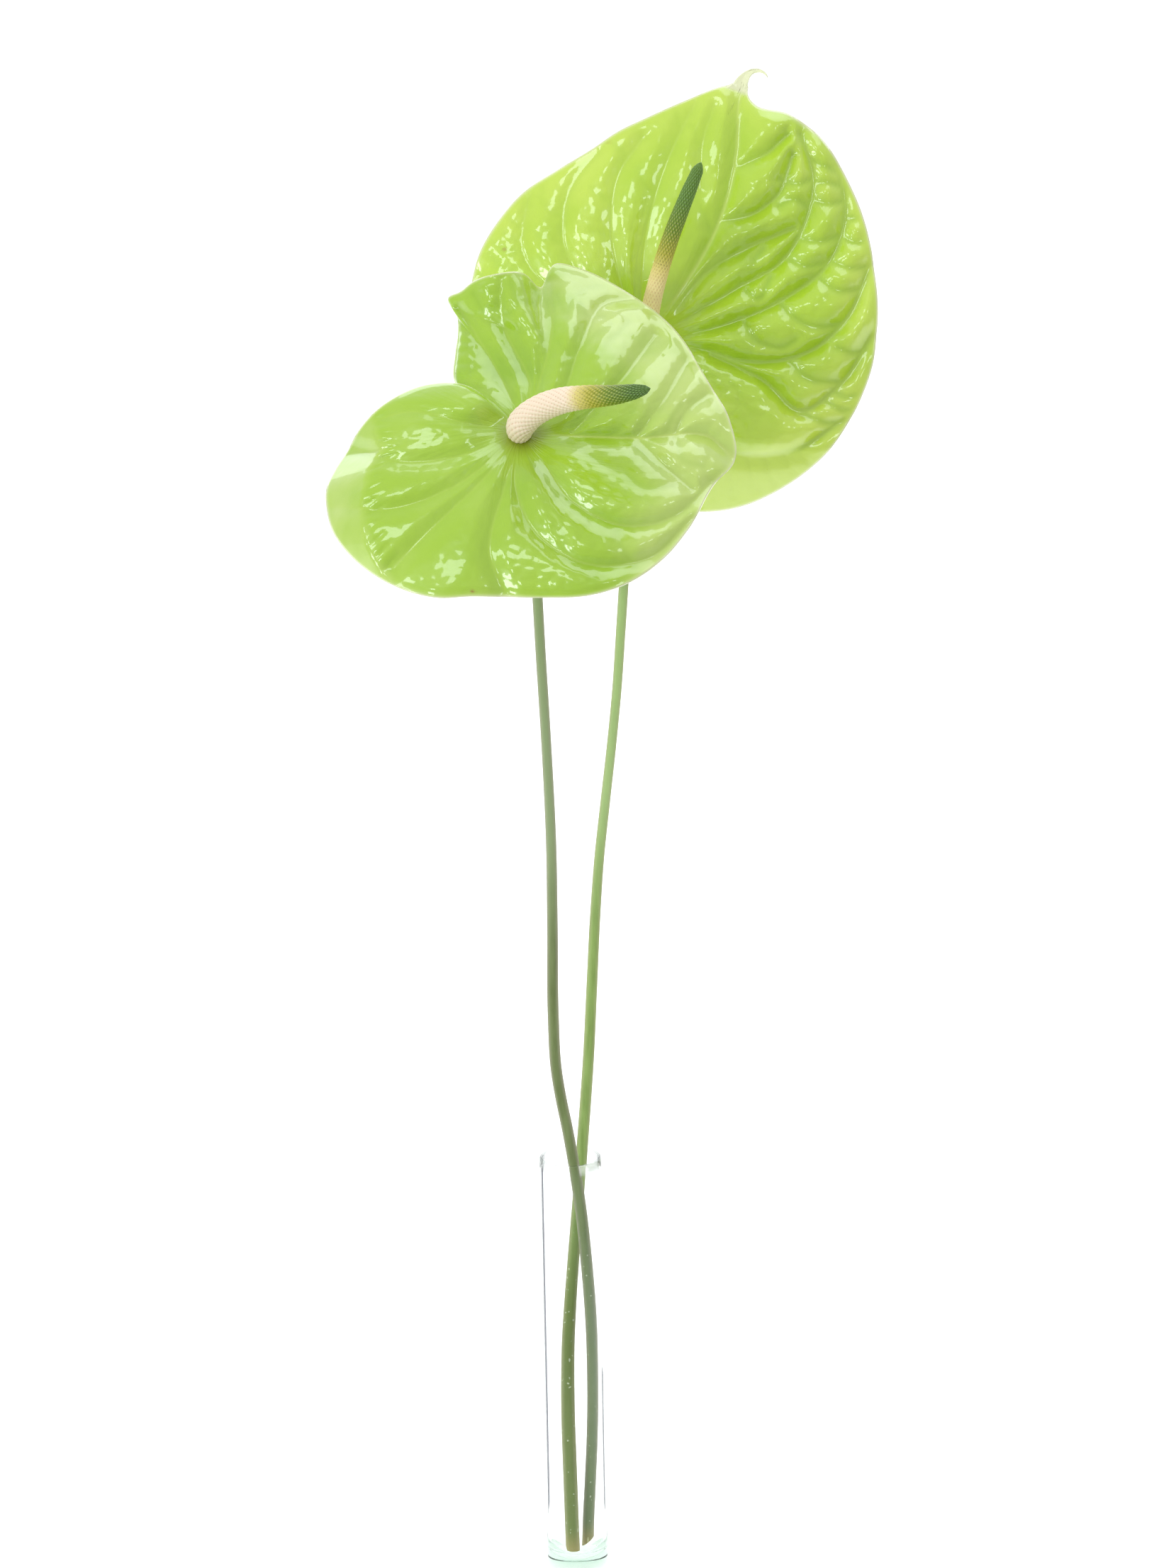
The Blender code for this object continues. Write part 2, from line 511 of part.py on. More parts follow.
def main():
    clear_scene()
    glass = new_material("clear glass", (0.95, 0.98, 0.97), 0.02, 1.0)
    spathe = new_material("waxy yellow-green spathe", (0.42, 0.62, 0.08), 0.18)
    cream = new_material("cream florets", (0.86, 0.68, 0.47), 0.5)
    green = new_material("dark green florets", (0.08, 0.15, 0.05), 0.35)
    front_green = new_material("grey-green stem", (0.20, 0.25, 0.13), 0.4)
    back_green = new_material("olive-green stem", (0.22, 0.31, 0.11), 0.4)

    front_facing, back_facing = facing_of(FRONT_FACE_UP), facing_of(BACK_FACE_UP)
    front_path = stem_path(FRONT_STEM, FRONT_HUB, front_facing)
    back_path = stem_path(BACK_STEM, BACK_HUB, back_facing)
    make_vase(glass)
    make_stem("stem_front", front_path, FRONT_STEM_RADII, front_facing, front_green,
              FRONT_CUT_NORMAL)
    make_stem("stem_back", back_path, BACK_STEM_RADII, back_facing, back_green)

    front_flower = make_flower("flower_front", FRONT_HUB, FRONT_FACE_UP)
    front_spathe(spathe, front_flower)
    make_spadix(("spadix_front_base", "spadix_front_tip"), FRONT_TILT, FRONT_SPADIX,
                FRONT_SPADIX_RADII, FRONT_CREAM_SHARE, (cream, green), front_flower)

    back_flower = make_flower("flower_back", BACK_HUB, BACK_FACE_UP)
    back_spathe(spathe, back_flower)
    make_spadix(("spadix_back_base", "spadix_back_tip"), BACK_TILT, BACK_SPADIX,
                BACK_SPADIX_RADII, BACK_CREAM_SHARE, (cream, green), back_flower)


main()
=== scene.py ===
# %% [markdown]
# # Two cut anthurium flowers in a tube vase
# Each flower is a long stem, a waxy heart-shaped spathe and a spadix, which is the rod covered
# in tiny florets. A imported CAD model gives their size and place. This lesson loads it and
# builds a finer piece over each of its nodes, so nothing here is moved or resized.

# %% Load the frame
import math
import random

import bmesh
import bpy
import numpy as np
from mathutils import Matrix, Vector


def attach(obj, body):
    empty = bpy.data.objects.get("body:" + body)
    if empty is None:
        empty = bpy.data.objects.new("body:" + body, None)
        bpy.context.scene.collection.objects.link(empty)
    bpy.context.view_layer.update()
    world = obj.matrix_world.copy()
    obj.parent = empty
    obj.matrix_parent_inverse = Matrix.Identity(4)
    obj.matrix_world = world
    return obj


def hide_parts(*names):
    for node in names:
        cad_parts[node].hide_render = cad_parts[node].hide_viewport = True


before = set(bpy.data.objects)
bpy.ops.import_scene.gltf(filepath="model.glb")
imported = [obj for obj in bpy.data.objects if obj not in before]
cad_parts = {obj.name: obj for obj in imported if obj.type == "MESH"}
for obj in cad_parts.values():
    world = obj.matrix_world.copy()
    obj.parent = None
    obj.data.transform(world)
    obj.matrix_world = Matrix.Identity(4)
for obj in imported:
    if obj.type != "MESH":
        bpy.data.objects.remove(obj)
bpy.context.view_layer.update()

MM = 0.001
MERGE_DISTANCE = 0.001 * MM
print("nodes:", sorted(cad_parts))

# %% [markdown]
# ## Shader maths that reads like arithmetic
# A pattern such as a pale line along a vein is a short sum. Wired by hand it becomes a dozen
# Math nodes, so a small class wraps a socket and turns `1 - mask` into those nodes. Every other
# node comes from one method, which sets the node's options first and then fills its sockets.
# Another lays colours over one another, as a painter does with thin coats.

# %% Sockets as numbers
class Wire:
    """An output socket that adds, multiplies and so on by making Math nodes."""

    def __init__(self, socket):
        self.socket = socket

    def maths(self, operation, first, second=None):
        node = self.socket.id_data.nodes.new("ShaderNodeMath")
        node.operation = operation
        for socket, value in zip(node.inputs, (first, second)):
            if isinstance(value, Wire):
                node.id_data.links.new(value.socket, socket)
            elif value is not None:
                socket.default_value = value
        return Wire(node.outputs[0])

    def __add__(self, other):
        return self.maths("ADD", self, other)

    def __sub__(self, other):
        return self.maths("SUBTRACT", self, other)

    def __rsub__(self, other):
        return self.maths("SUBTRACT", other, self)

    def __mul__(self, other):
        return self.maths("MULTIPLY", self, other)

    __radd__ = __add__


class Finish:
    """A material and the nodes that are added to it."""

    def __init__(self, name):
        self.material = bpy.data.materials.new(name)
        self.material.use_nodes = True
        self.tree = self.material.node_tree
        self.shader = self.tree.nodes["Principled BSDF"]
        self.output = self.tree.nodes["Material Output"]

    def node(self, kind, sockets=None, out=0, **settings):
        made = self.tree.nodes.new("ShaderNode" + kind)
        for key, value in settings.items():
            if key == "stops":
                stops = made.color_ramp.elements
                while len(stops) < len(value):
                    stops.new(0.5)
                for stop, (place, colour) in zip(stops, value):
                    stop.position, stop.color = place, (*colour, 1.0)
            else:
                setattr(made, key, value)
        self.fill(made, sockets or {})
        return Wire(made.outputs[out])

    def fill(self, node, sockets):
        for key, value in sockets.items():
            if isinstance(value, Wire):
                self.tree.links.new(value.socket, node.inputs[key])
            elif isinstance(value, tuple) and node.inputs[key].type == "RGBA":
                node.inputs[key].default_value = (*value, 1.0)
            else:
                node.inputs[key].default_value = value

    def mix(self, share, first, second):
        """Blend two colours. Sockets 6 and 7 of a Mix node are its two colours."""
        return self.node("Mix", {0: share, 6: first, 7: second}, out=2,
                         data_type="RGBA", clamp_factor=True)

    def paint(self, colour, *coats):
        """Lay some (share, colour) coats over a colour, one after the other."""
        for share, coat in coats:
            colour = self.mix(share, colour, coat)
        return colour

    def step(self, wire, low, high):
        """0 below low, 1 above high, smooth between; low may be the larger."""
        return self.node("MapRange", {"Value": wire, "From Min": low, "From Max": high},
                         interpolation_type="SMOOTHSTEP")

    def place(self):
        return self.node("TexCoord", out="Object")

    def noise(self, scale, detail=2.0, stretch=(1.0, 1.0, 1.0)):
        """Noise with features about 1 / scale metres across, stretched on each axis."""
        where = self.node("Mapping", {"Vector": self.place(), "Scale": stretch})
        return self.node("TexNoise", {"Vector": where, "Scale": scale, "Detail": detail})

    def carried(self, name):
        """A number that each point of the mesh carries."""
        return self.node("Attribute", out="Fac", attribute_name=name)

    def bump(self, height, metres, strength=1.0):
        return self.node("Bump", {"Height": height, "Distance": metres, "Strength": strength})

    def surface(self, colour, roughness, normal, **more):
        """Fill the shader. An underscore in a name stands for a space."""
        self.fill(self.shader, {"Base Color": colour, "Roughness": roughness, "Normal": normal})
        self.fill(self.shader, {key.replace("_", " "): value for key, value in more.items()})
        return self.material


def tone(red, green, blue):
    """A colour from the screen values 0 to 255 that a painter would pick."""
    def linear(value):
        value /= 255.0
        return value / 12.92 if value <= 0.04045 else ((value + 0.055) / 1.055) ** 2.4
    return linear(red), linear(green), linear(blue)


def in_scene(name, data):
    """Make an object of some data and put it in the scene."""
    made = bpy.data.objects.new(name, data)
    bpy.context.scene.collection.objects.link(made)
    return made


print("a leaf green is", tuple(round(value, 3) for value in tone(175, 207, 71)))

# %% [markdown]
# ## The camera
# The camera looks down a little on the flowers through a long lens, so the vase's sides stay
# almost parallel. Its place is worked out from the point it looks at, its distance and how far
# it looks down. It leans by one degree, as a camera held by hand does.

# %% Camera
CAMERA_TARGET = Vector((0.0111, 0.0, 0.3748))
CAMERA_DISTANCE = 2.4738
CAMERA_ABOVE = math.radians(15.9514)
CAMERA_LEAN = math.radians(-1.0303)
CAMERA_ANGLE = math.radians(16.0)
SENSOR_WIDTH = 36.0

back = Vector((0.0, -math.cos(CAMERA_ABOVE), math.sin(CAMERA_ABOVE)))
level = Vector((1.0, 0.0, 0.0))
over = level.cross(-back)
across = level * math.cos(CAMERA_LEAN) + over * math.sin(CAMERA_LEAN)
upright = over * math.cos(CAMERA_LEAN) - level * math.sin(CAMERA_LEAN)
camera = in_scene("camera", bpy.data.cameras.new("camera"))
camera.data.sensor_width = SENSOR_WIDTH
camera.data.lens = SENSOR_WIDTH / 2 / math.tan(CAMERA_ANGLE / 2)
camera.data.clip_end = 50.0
turn = Matrix((across, upright, back)).transposed().to_4x4()
camera.matrix_world = Matrix.Translation(CAMERA_TARGET + back * CAMERA_DISTANCE) @ turn
bpy.context.scene.camera = camera
print("camera at", tuple(round(value, 3) for value in camera.matrix_world.translation))

# %% [markdown]
# ## Floor and light
# The flowers stand on white paper in a white room. A large pale floor fills the view, and it
# glows a little, as paper lit from behind does, so that it stays white to its far end. Its near
# part lies in shade, or it would lay a white veil over the glass. Clear glass shows only by the
# dark things at its sides that its walls bend into sight, so two dark cards stand beside the
# vase, a little behind it. Only light that has passed through glass meets them. The world is an
# even white and a soft sun stands for the ceiling. A bright wall behind the flowers gives the
# parts that turn away a pale sheen, and so does a wide box overhead. A window of two panes on
# the left and four small boxes above give the wax its highlights: each bulge of the spathes
# shows its own image of them. Their light is a little cool, which keeps these images white.

# %% Floor, world and soft boxes
def finished_object(name, bm, materials):
    """Turn a bmesh into a smooth object at the origin."""
    mesh = bpy.data.meshes.new(name)
    bm.to_mesh(mesh)
    bm.free()
    for material in materials:
        mesh.materials.append(material)
    mesh.shade_smooth()
    return in_scene(name, mesh)


PAPER_REACH = 12.0
SHADE_START, SHADE_FULL = -0.1, -0.35
WHITE, BLACK, PAPER_IN_SHADE = (1.0, 1.0, 1.0), (0.0, 0.0, 0.0), (0.7, 0.7, 0.7)

paper = Finish("white_paper")
grain = paper.noise(400.0, 3.0)
toward = paper.node("SeparateXYZ", {0: paper.place()}, out="Y")
shaded = paper.step(toward, SHADE_START, SHADE_FULL)
sheet = paper.paint((0.93, 0.93, 0.93), (grain, (0.96, 0.96, 0.96)), (shaded, PAPER_IN_SHADE))
paper.surface(sheet, 0.9, paper.bump(grain, 0.0001, 0.3),
              Emission_Color=paper.mix(shaded, WHITE, BLACK), Emission_Strength=0.4)
bm = bmesh.new()
bmesh.ops.create_grid(bm, x_segments=1, y_segments=1, size=PAPER_REACH)
floor = finished_object("floor", bm, [paper.material])

# Each card: its name, where its near and its far side are across, and its height, in metres.
CARDS = (("left_card", -0.041, -0.068, 0.2), ("right_card", 0.045, 0.062, 0.07))
CARD_BEHIND, CARD_THICKNESS, CARD_LIFT = 0.05, 2.0 * MM, 1.0 * MM
card = Finish("dark_card")
card.fill(card.shader, {
    "Base Color": card.mix(card.noise(300.0), (0.12, 0.11, 0.16), (0.18, 0.17, 0.22)),
    "Roughness": 0.8})
for name, near_x, far_x, height in CARDS:
    middle = Vector(((near_x + far_x) / 2, CARD_BEHIND, height / 2 + CARD_LIFT))
    size = Matrix.Diagonal((abs(far_x - near_x), CARD_THICKNESS, height, 1.0))
    bm = bmesh.new()
    bmesh.ops.create_cube(bm, size=1.0, matrix=Matrix.Translation(middle) @ size)
    side_card = finished_object(name, bm, [card.material])
    side_card.visible_camera = side_card.visible_diffuse = False
    side_card.visible_glossy = side_card.visible_shadow = False

ROOM_LIGHT = 0.68
CEILING_LIGHT = 0.15
world = bpy.data.worlds.new("white_room")
world.use_nodes = True
world.node_tree.nodes["Background"].inputs["Color"].default_value = (*WHITE, 1.0)
world.node_tree.nodes["Background"].inputs["Strength"].default_value = ROOM_LIGHT
bpy.context.scene.world = world
bpy.context.scene.view_settings.view_transform = "Standard"

sun = bpy.data.lights.new("ceiling", "SUN")
sun.energy, sun.angle = CEILING_LIGHT, math.radians(120.0)
ceiling = in_scene("ceiling", sun)
ceiling.rotation_euler = (math.radians(-14.0), math.radians(10.0), 0.0)

DAYLIGHT = (0.90, 0.97, 1.0)
FLOWERS = (0.02, 0.0, 0.5)
# Each box: its name, place, width, height, how bright its face is, and what it looks at.
SOFT_BOXES = (
    ("left_pane", (-2.10, -1.35, 0.80), 0.34, 0.80, 10.0, FLOWERS),
    ("left_pane_2", (-1.80, -1.75, 0.80), 0.34, 0.80, 10.0, FLOWERS),
    ("left_high_box", (-1.30, -1.05, 2.00), 0.40, 0.45, 6.0, FLOWERS),
    ("front_high_box", (-0.94, -1.65, 1.65), 0.22, 0.30, 9.0, FLOWERS),
    ("right_high_box", (1.30, -1.20, 1.90), 0.35, 0.35, 5.0, FLOWERS),
    ("top_box", (-0.35, -1.10, 2.35), 0.60, 0.45, 4.5, FLOWERS),
    ("far_top_box", (0.60, 0.60, 2.50), 1.50, 1.20, 1.8, FLOWERS),
    ("bright_wall", (0.0, 3.00, 1.75), 5.00, 2.60, 1.3, (0.0, 0.0, 0.9)),
)
for name, place, width, height, face, target in SOFT_BOXES:
    lamp = bpy.data.lights.new(name, "AREA")
    lamp.shape, lamp.size, lamp.size_y = "RECTANGLE", width, height
    lamp.energy = face * math.pi * width * height
    lamp.color = DAYLIGHT
    aim = (Vector(target) - Vector(place)).to_track_quat("-Z", "Y")
    in_scene(name, lamp).matrix_world = Matrix.Translation(place) @ aim.to_matrix().to_4x4()
print("soft boxes:", [row[0] for row in SOFT_BOXES])

# %% [markdown]
# ## Smooth curves and places on a flower
# Outlines, veins, stems and spadices are all drawn as a few points with a smooth curve through
# them. A flower's own points are given right of its hub, up as it is seen, and out from the
# blade. A point that rises out of the blade slides along the sight line, so the outline stays
# as it is seen while the blade gets its depth.

# %% Curves and flower places
def ramp(low, high, x):
    """Return 0 below low, 1 above high and a smooth step between."""
    t = np.clip((x - low) / (high - low), 0.0, 1.0)
    return t * t * (3.0 - 2.0 * t)


def smooth_curve(points, count, crowding=1.0):
    """Return points on a smooth curve through the given ones, evenly spaced or crowded late."""
    points = np.array(points, float)
    knots = np.append(0.0, np.cumsum(np.linalg.norm(np.diff(points, axis=0), axis=1)))
    slopes = np.gradient(points, knots, axis=0)
    fine = np.linspace(0.0, knots[-1], 40 * len(points))
    span = np.clip(np.searchsorted(knots, fine, side="right") - 1, 0, len(points) - 2)
    width = knots[span + 1] - knots[span]
    t = ((fine - knots[span]) / width)[:, None]
    first, last = points[span], points[span + 1]
    leave, arrive = slopes[span] * width[:, None], slopes[span + 1] * width[:, None]
    path = (first * (1 + 2 * t) * (1 - t) ** 2 + leave * t * (1 - t) ** 2
            + last * t * t * (3 - 2 * t) + arrive * t * t * (t - 1))
    lengths = np.append(0.0, np.cumsum(np.linalg.norm(np.diff(path, axis=0), axis=1)))
    stops = lengths[-1] * (1.0 - (1.0 - np.linspace(0.0, 1.0, count)) ** crowding)
    return np.stack([np.interp(stops, lengths, axis) for axis in path.T], axis=1)


def facing_of(face_up):
    """Return the way a spathe faces."""
    return np.array((0.0, -math.cos(face_up), math.sin(face_up)))


def on_flower(flower, x, y, depth):
    """Place points given right of the hub, up as seen, and out from the spathe."""
    hub, face_up, tilt = flower
    facing = facing_of(face_up)
    up_the_blade = np.array((0.0, math.sin(face_up), math.cos(face_up)))
    slid = y - depth * math.tan(tilt)
    return (hub + x[..., None] * (1.0, 0.0, 0.0) + slid[..., None] * up_the_blade
            + depth[..., None] * facing)


# Each flower: its hub, how far it faces up, and how far up that is from the sight line.
FRONT_FLOWER = np.array((-14.5, -50.0, 545.2)) * MM, math.radians(48.0), math.radians(35.8)
BACK_FLOWER = np.array((39.8, 45.0, 565.3)) * MM, math.radians(22.0), math.radians(10.5)
hub_distance = float(np.linalg.norm(FRONT_FLOWER[0] - BACK_FLOWER[0]))
print("the hubs are", round(hub_distance / MM, 1), "mm apart")

# %% [markdown]
# ## The spathe's wax
# A spathe is a leaf with a thick waxy skin. Its green is uneven: olive round the hub, paler
# towards the edge, with pale veins and a thin white margin. Part of this is painted light. The
# olive round the hub is its own yellowish tone darkened as painted shade under the spadix, the
# deeper green in the valleys between pillows is painted shade, and the carried tone holds a
# painted sheen where a blade turns away, painted shade on the front one's lip and painted light
# on the back one's lower part. The wax is smooth and shiny over a skin that is never quite
# even, which breaks its highlights into brush strokes, and fine ridges fan out from the hub.
# The patterns that follow the blade's own shape use numbers that each point of the mesh
# carries, such as its turn round the hub and its distance from it, from which noise makes the
# ridges. The mottling is noise in space.

# %% Spathe material
RIDGES_PER_DEGREE, RIDGES_PER_METRE, RIDGE_HEIGHT = 0.22, 25.0, 3.5
MARGIN_TONE = tone(233, 236, 190)


def spathe_wax(name, deep, fresh, pale):
    wax = Finish(name)
    mottle = wax.noise(28.0, 3.0)
    fan = wax.node("CombineXYZ", {0: wax.carried("turn") * RIDGES_PER_DEGREE,
                                  1: wax.carried("out") * RIDGES_PER_METRE})
    ridges = wax.node("TexNoise", {"Vector": fan, "Scale": 1.0})
    ridges = ridges * wax.step(wax.carried("out"), 0.09, 0.04)
    uneven = wax.noise(260.0, 1.0) + wax.noise(1100.0, 1.0) * 0.12 + ridges * RIDGE_HEIGHT
    # The carried tone is partly the blade's own green and partly painted light: a painted sheen,
    # painted shade and painted light, set where each blade is made.
    shade = wax.carried("shade") + (mottle - 0.5) * 0.9
    colour = wax.paint(pale, (wax.step(shade, 0.0, 0.5), fresh), (wax.step(shade, 0.5, 1.0), deep),
                       # Painted shade: a deeper green in the valleys round the pillows.
                       (wax.carried("valley"), deep),
                       (wax.carried("vein") * 0.5, tone(206, 224, 110)),
                       # Round the hub: its own yellowish tone, darkened as painted shade under the
                       # spadix.
                       (wax.carried("hub") * 0.8, tone(124, 134, 16)),
                       (wax.carried("margin"), MARGIN_TONE),
                       (wax.carried("speck"), tone(152, 74, 34)))
    return wax.surface(colour, 0.24 + mottle * 0.12, wax.bump(uneven, 0.0002, 0.6),
                       IOR=1.5, Coat_Weight=1.0, Coat_Roughness=0.05)


def spathe_underside(name):
    skin = Finish(name)
    mottle = skin.noise(40.0, 3.0)
    fine = skin.noise(700.0, 2.0)
    colour = skin.paint(tone(178, 204, 108), (mottle, tone(200, 220, 140)),
                        (skin.carried("vein") * 0.7, tone(218, 230, 165)),
                        (skin.carried("margin"), MARGIN_TONE))
    return skin.surface(colour, 0.45, skin.bump(fine, 0.00005, 0.5))


front_wax = spathe_wax("front_spathe_wax", tone(132, 174, 14), tone(158, 196, 38),
                       tone(190, 214, 106))
back_wax = spathe_wax("back_spathe_wax", tone(138, 180, 14), tone(176, 210, 48),
                      tone(197, 222, 78))
underside = spathe_underside("spathe_underside")
print("spathe materials:", front_wax.name, back_wax.name, underside.name)

# %% [markdown]
# ## A blade made of spokes
# The blade could be sculpted, but its outline and veins are what the eye knows it by, so it is
# drawn. A grid is bent into a fan: its first row is gathered at the hub and its last row lies
# on the outline. The fan's spokes leave the hub evenly and bend to meet the outline, so the
# small triangles at the hub stay even too.

# %% Fan of spokes
SPATHE_THICKNESS = 0.8 * MM
SPATHE_COLUMNS = 480
SPATHE_ROWS = 95
SPATHE_TAIL_CROWDING = 2.4
SPATHE_DISC = 8.0 * MM
SPATHE_DISH_WIDTH = 18.0 * MM
SPATHE_DISH_DEPTH = 3.0 * MM
SPATHE_RECURVE = 8.0 * MM
VEIN_DEPTH, VEIN_WIDTH = 3.0 * MM, 5.0 * MM
MIDRIB_DEPTH, MIDRIB_WIDTH = 2.0 * MM, 8.0 * MM
HUB_RADIUS, HUB_FADE, MARGIN_WIDTH = 4.0 * MM, 15.0 * MM, 0.7 * MM


def spathe_spokes(outline, body_radius, hub_angles):
    """Return x, y, the angle in degrees and the share of the way out."""
    corners = [(radius * MM * math.cos(math.radians(angle)),
                radius * MM * math.sin(math.radians(angle))) for angle, radius in outline]
    fine = smooth_curve(corners, 60 * len(corners))
    density = np.where(np.linalg.norm(fine[1:], axis=1) > body_radius, SPATHE_TAIL_CROWDING, 1)
    way = np.append(0.0, np.cumsum(np.linalg.norm(np.diff(fine, axis=0), axis=1) * density))
    stops = np.linspace(0.0, way[-1], SPATHE_COLUMNS + 1)
    margin_x, margin_y = (np.interp(stops, way, axis) for axis in fine.T)
    reach = np.hypot(margin_x, margin_y)
    angle = np.unwrap(np.arctan2(margin_y, margin_x))
    angle += math.radians(outline[0][0]) - angle[0]
    leave = np.radians(np.linspace(*hub_angles, SPATHE_COLUMNS + 1))
    step = np.linspace(0.0, 1.0, SPATHE_ROWS + 1)[:, None]
    turned = angle + (leave - angle) * (1.0 - step) ** 2
    x = reach * step * np.cos(turned)
    y = reach * step * np.sin(turned)
    share = np.minimum(1.0, reach * step / np.minimum(reach, body_radius))
    return x, y, np.broadcast_to(np.degrees(angle), x.shape), share


def distance_to(paths, x, y):
    """Return each point's distance to the nearest of some curves drawn in millimetres."""
    nearest = np.full(x.shape, np.inf)
    for path in paths:
        path = smooth_curve(np.array(path, float) * MM, max(12, 6 * len(path)))
        for start, end in zip(path[:-1], path[1:]):
            along = end - start
            t = np.clip(((x - start[0]) * along[0] + (y - start[1]) * along[1])
                        / (along @ along), 0.0, 1.0)
            gap = np.hypot(x - start[0] - t * along[0], y - start[1] - t * along[1])
            nearest = np.minimum(nearest, gap)
    return nearest


def near(distance, width):
    """Return 1 on a line, falling smoothly to 0 a few widths away."""
    return np.exp(-(distance / width) ** 2)


print("a spathe has", SPATHE_COLUMNS * SPATHE_ROWS, "faces on each side")

# %% [markdown]
# ## The quilted surface
# Between the main veins the blade swells like a quilt, and smaller cross veins divide each
# swelling into pillows. The largest are drawn. The rest are cells round scattered points: a
# point of the blade that is as near to two of the scattered points lies on a cell's border,
# where the pillow dips. The scatter has a fixed seed, so it is the same at each run.

# %% Pillows
PILLOW_SIDE, TALLEST_PILLOW = 4.0 * MM, 2.3 * MM
CELL_SPACING, CELL_SIDE, CELL_CLEARANCE = 7.5 * MM, 1.6 * MM, 2.5 * MM
GROOVE_DEPTH, GROOVE_WIDTH = 0.2 * MM, 0.9 * MM
VEIN_LINE, MIDRIB_LINE, VALLEY_SHADE_WIDTH = 0.7 * MM, 0.9 * MM, 1.5 * MM


def small_cells(x, y, spacing, seed):
    """Return each point's distance to the border of its cell."""
    scatter = random.Random(seed)
    seeds = np.array([
        ((column + 0.5 * (row % 2) + scatter.uniform(-0.32, 0.32)) * spacing,
         (row * 0.87 + scatter.uniform(-0.32, 0.32)) * spacing)
        for row in range(-18, 19) for column in range(-16, 17)])
    border = np.empty(x.shape)
    for row in range(x.shape[0]):
        gap = (x[row][:, None] - seeds[:, 0]) ** 2 + (y[row][:, None] - seeds[:, 1]) ** 2
        order = np.argpartition(gap, 1, axis=1)[:, :2]
        two = np.take_along_axis(gap, order, axis=1)
        apart = np.linalg.norm(seeds[order[:, 0]] - seeds[order[:, 1]], axis=1)
        border[row] = np.abs(two[:, 1] - two[:, 0]) / (2.0 * apart)
    return border


def quilt(x, y, midrib, veins, cross_veins, swell, pillow, cells, seed):
    """Return the depth of the quilted surface, its vein lines and the painted shade in its
    valleys.

    Swell is the share of the bulge between main veins, pillow the height of the drawn pillows
    and cells that of the small ones, all given for each point.
    """
    rib = distance_to([midrib], x, y)
    main = np.minimum(rib, distance_to(veins, x, y))
    cross = distance_to(cross_veins, x, y)
    both = np.minimum(main, cross)
    border = small_cells(x, y, CELL_SPACING, seed)
    away = ramp(SPATHE_DISC, SPATHE_DISC + SPATHE_DISH_WIDTH, np.hypot(x, y))
    bulge = VEIN_DEPTH * swell * (1.0 - near(main, VEIN_WIDTH))
    valley = MIDRIB_DEPTH * near(rib, MIDRIB_WIDTH)
    fine = pillow * (1.0 - near(both, PILLOW_SIDE)) - GROOVE_DEPTH * near(main, GROOVE_WIDTH)
    fine = fine + cells * (1.0 - near(border, CELL_SIDE)) * (1.0 - near(both, CELL_CLEARANCE))
    depth = away * (SPATHE_DISH_DEPTH + bulge - valley + fine)
    line = np.maximum(0.25 * near(main, VEIN_LINE), near(rib, MIDRIB_LINE)) * away
    # The third number is painted shade: a deeper green in the valleys, stronger where pillows are
    # high.
    valley_shade_share = np.minimum(0.5, pillow / PILLOW_SIDE)
    return depth, line, near(both, VALLEY_SHADE_WIDTH) * away * valley_shade_share


steepest = math.atan(math.sqrt(2.0) * math.exp(-0.5) * TALLEST_PILLOW / PILLOW_SIDE)
print("a pillow's steepest side is", round(math.degrees(steepest)), "degrees")

# %% [markdown]
# ## From points to a solid blade
# The blade is one sheet first. The row at the hub is merged into a point, the faces are turned
# to the front, and a Solidify modifier gives the sheet its thickness with the paler underside
# as its second material. Each point also carries its numbers for the material. The function
# that bends the grid serves the stems and spadices later too.

# %% Blade maker
def bent_grid(points, numbers):
    """Bend a grid to rows of points that carry their numbers, and merge those that meet."""
    rows, columns = points.shape[0] - 1, points.shape[1] - 1
    bm = bmesh.new()
    layers = {key: bm.verts.layers.float.new(key) for key in numbers}
    bmesh.ops.create_grid(bm, x_segments=columns, y_segments=rows, size=1.0)
    for vert in bm.verts:
        column = round((vert.co.x + 1.0) / 2.0 * columns)
        row = round((vert.co.y + 1.0) / 2.0 * rows)
        vert.co = points[row, column]
        for key, layer in layers.items():
            vert[layer] = numbers[key][row, column]
    bmesh.ops.remove_doubles(bm, verts=bm.verts, dist=MERGE_DISTANCE)
    return bm


def make_blade(name, points, numbers, materials):
    bm = bent_grid(points, numbers)
    bmesh.ops.reverse_faces(bm, faces=bm.faces)
    bm.normal_update()
    lean = sum((face.normal * face.calc_area() for face in bm.faces), Vector())
    print(name, "has", len(bm.faces), "faces and looks towards",
          tuple(round(value, 2) for value in lean.normalized()))
    piece = finished_object(name, bm, materials)
    solid = piece.modifiers.new("Thickness", "SOLIDIFY")
    solid.thickness = SPATHE_THICKNESS
    solid.offset = 0.0
    solid.use_quality_normals = True
    solid.material_offset = 1
    return piece


def blade_numbers(x, y, angle, share, line, valley, shade, specks):
    """Return what each point of a blade carries for its material."""
    out = np.hypot(x, y)
    speck = np.zeros(x.shape)
    for right, up, radius in specks:
        speck = np.maximum(speck, near(np.hypot(x - right * MM, y - up * MM), radius * MM))
    return {"vein": line, "valley": valley, "shade": shade, "speck": speck,
            "turn": np.broadcast_to(angle, x.shape), "out": out,
            "hub": ramp(HUB_FADE, HUB_RADIUS, out),
            "margin": near((1.0 - share) * out[-1], MARGIN_WIDTH)}


print("the margin's pale line is", round(MARGIN_WIDTH / MM, 1), "mm wide")

# %% [markdown]
# ## The front spathe
# It faces up more than the other, so it is seen foreshortened. Its left and lower margins
# roll back beyond a fold, its lower lobe rises beside the notch, and its top left corner is
# turned up as a dark glossy lip. These bends are the CAD model's own, with the same numbers.

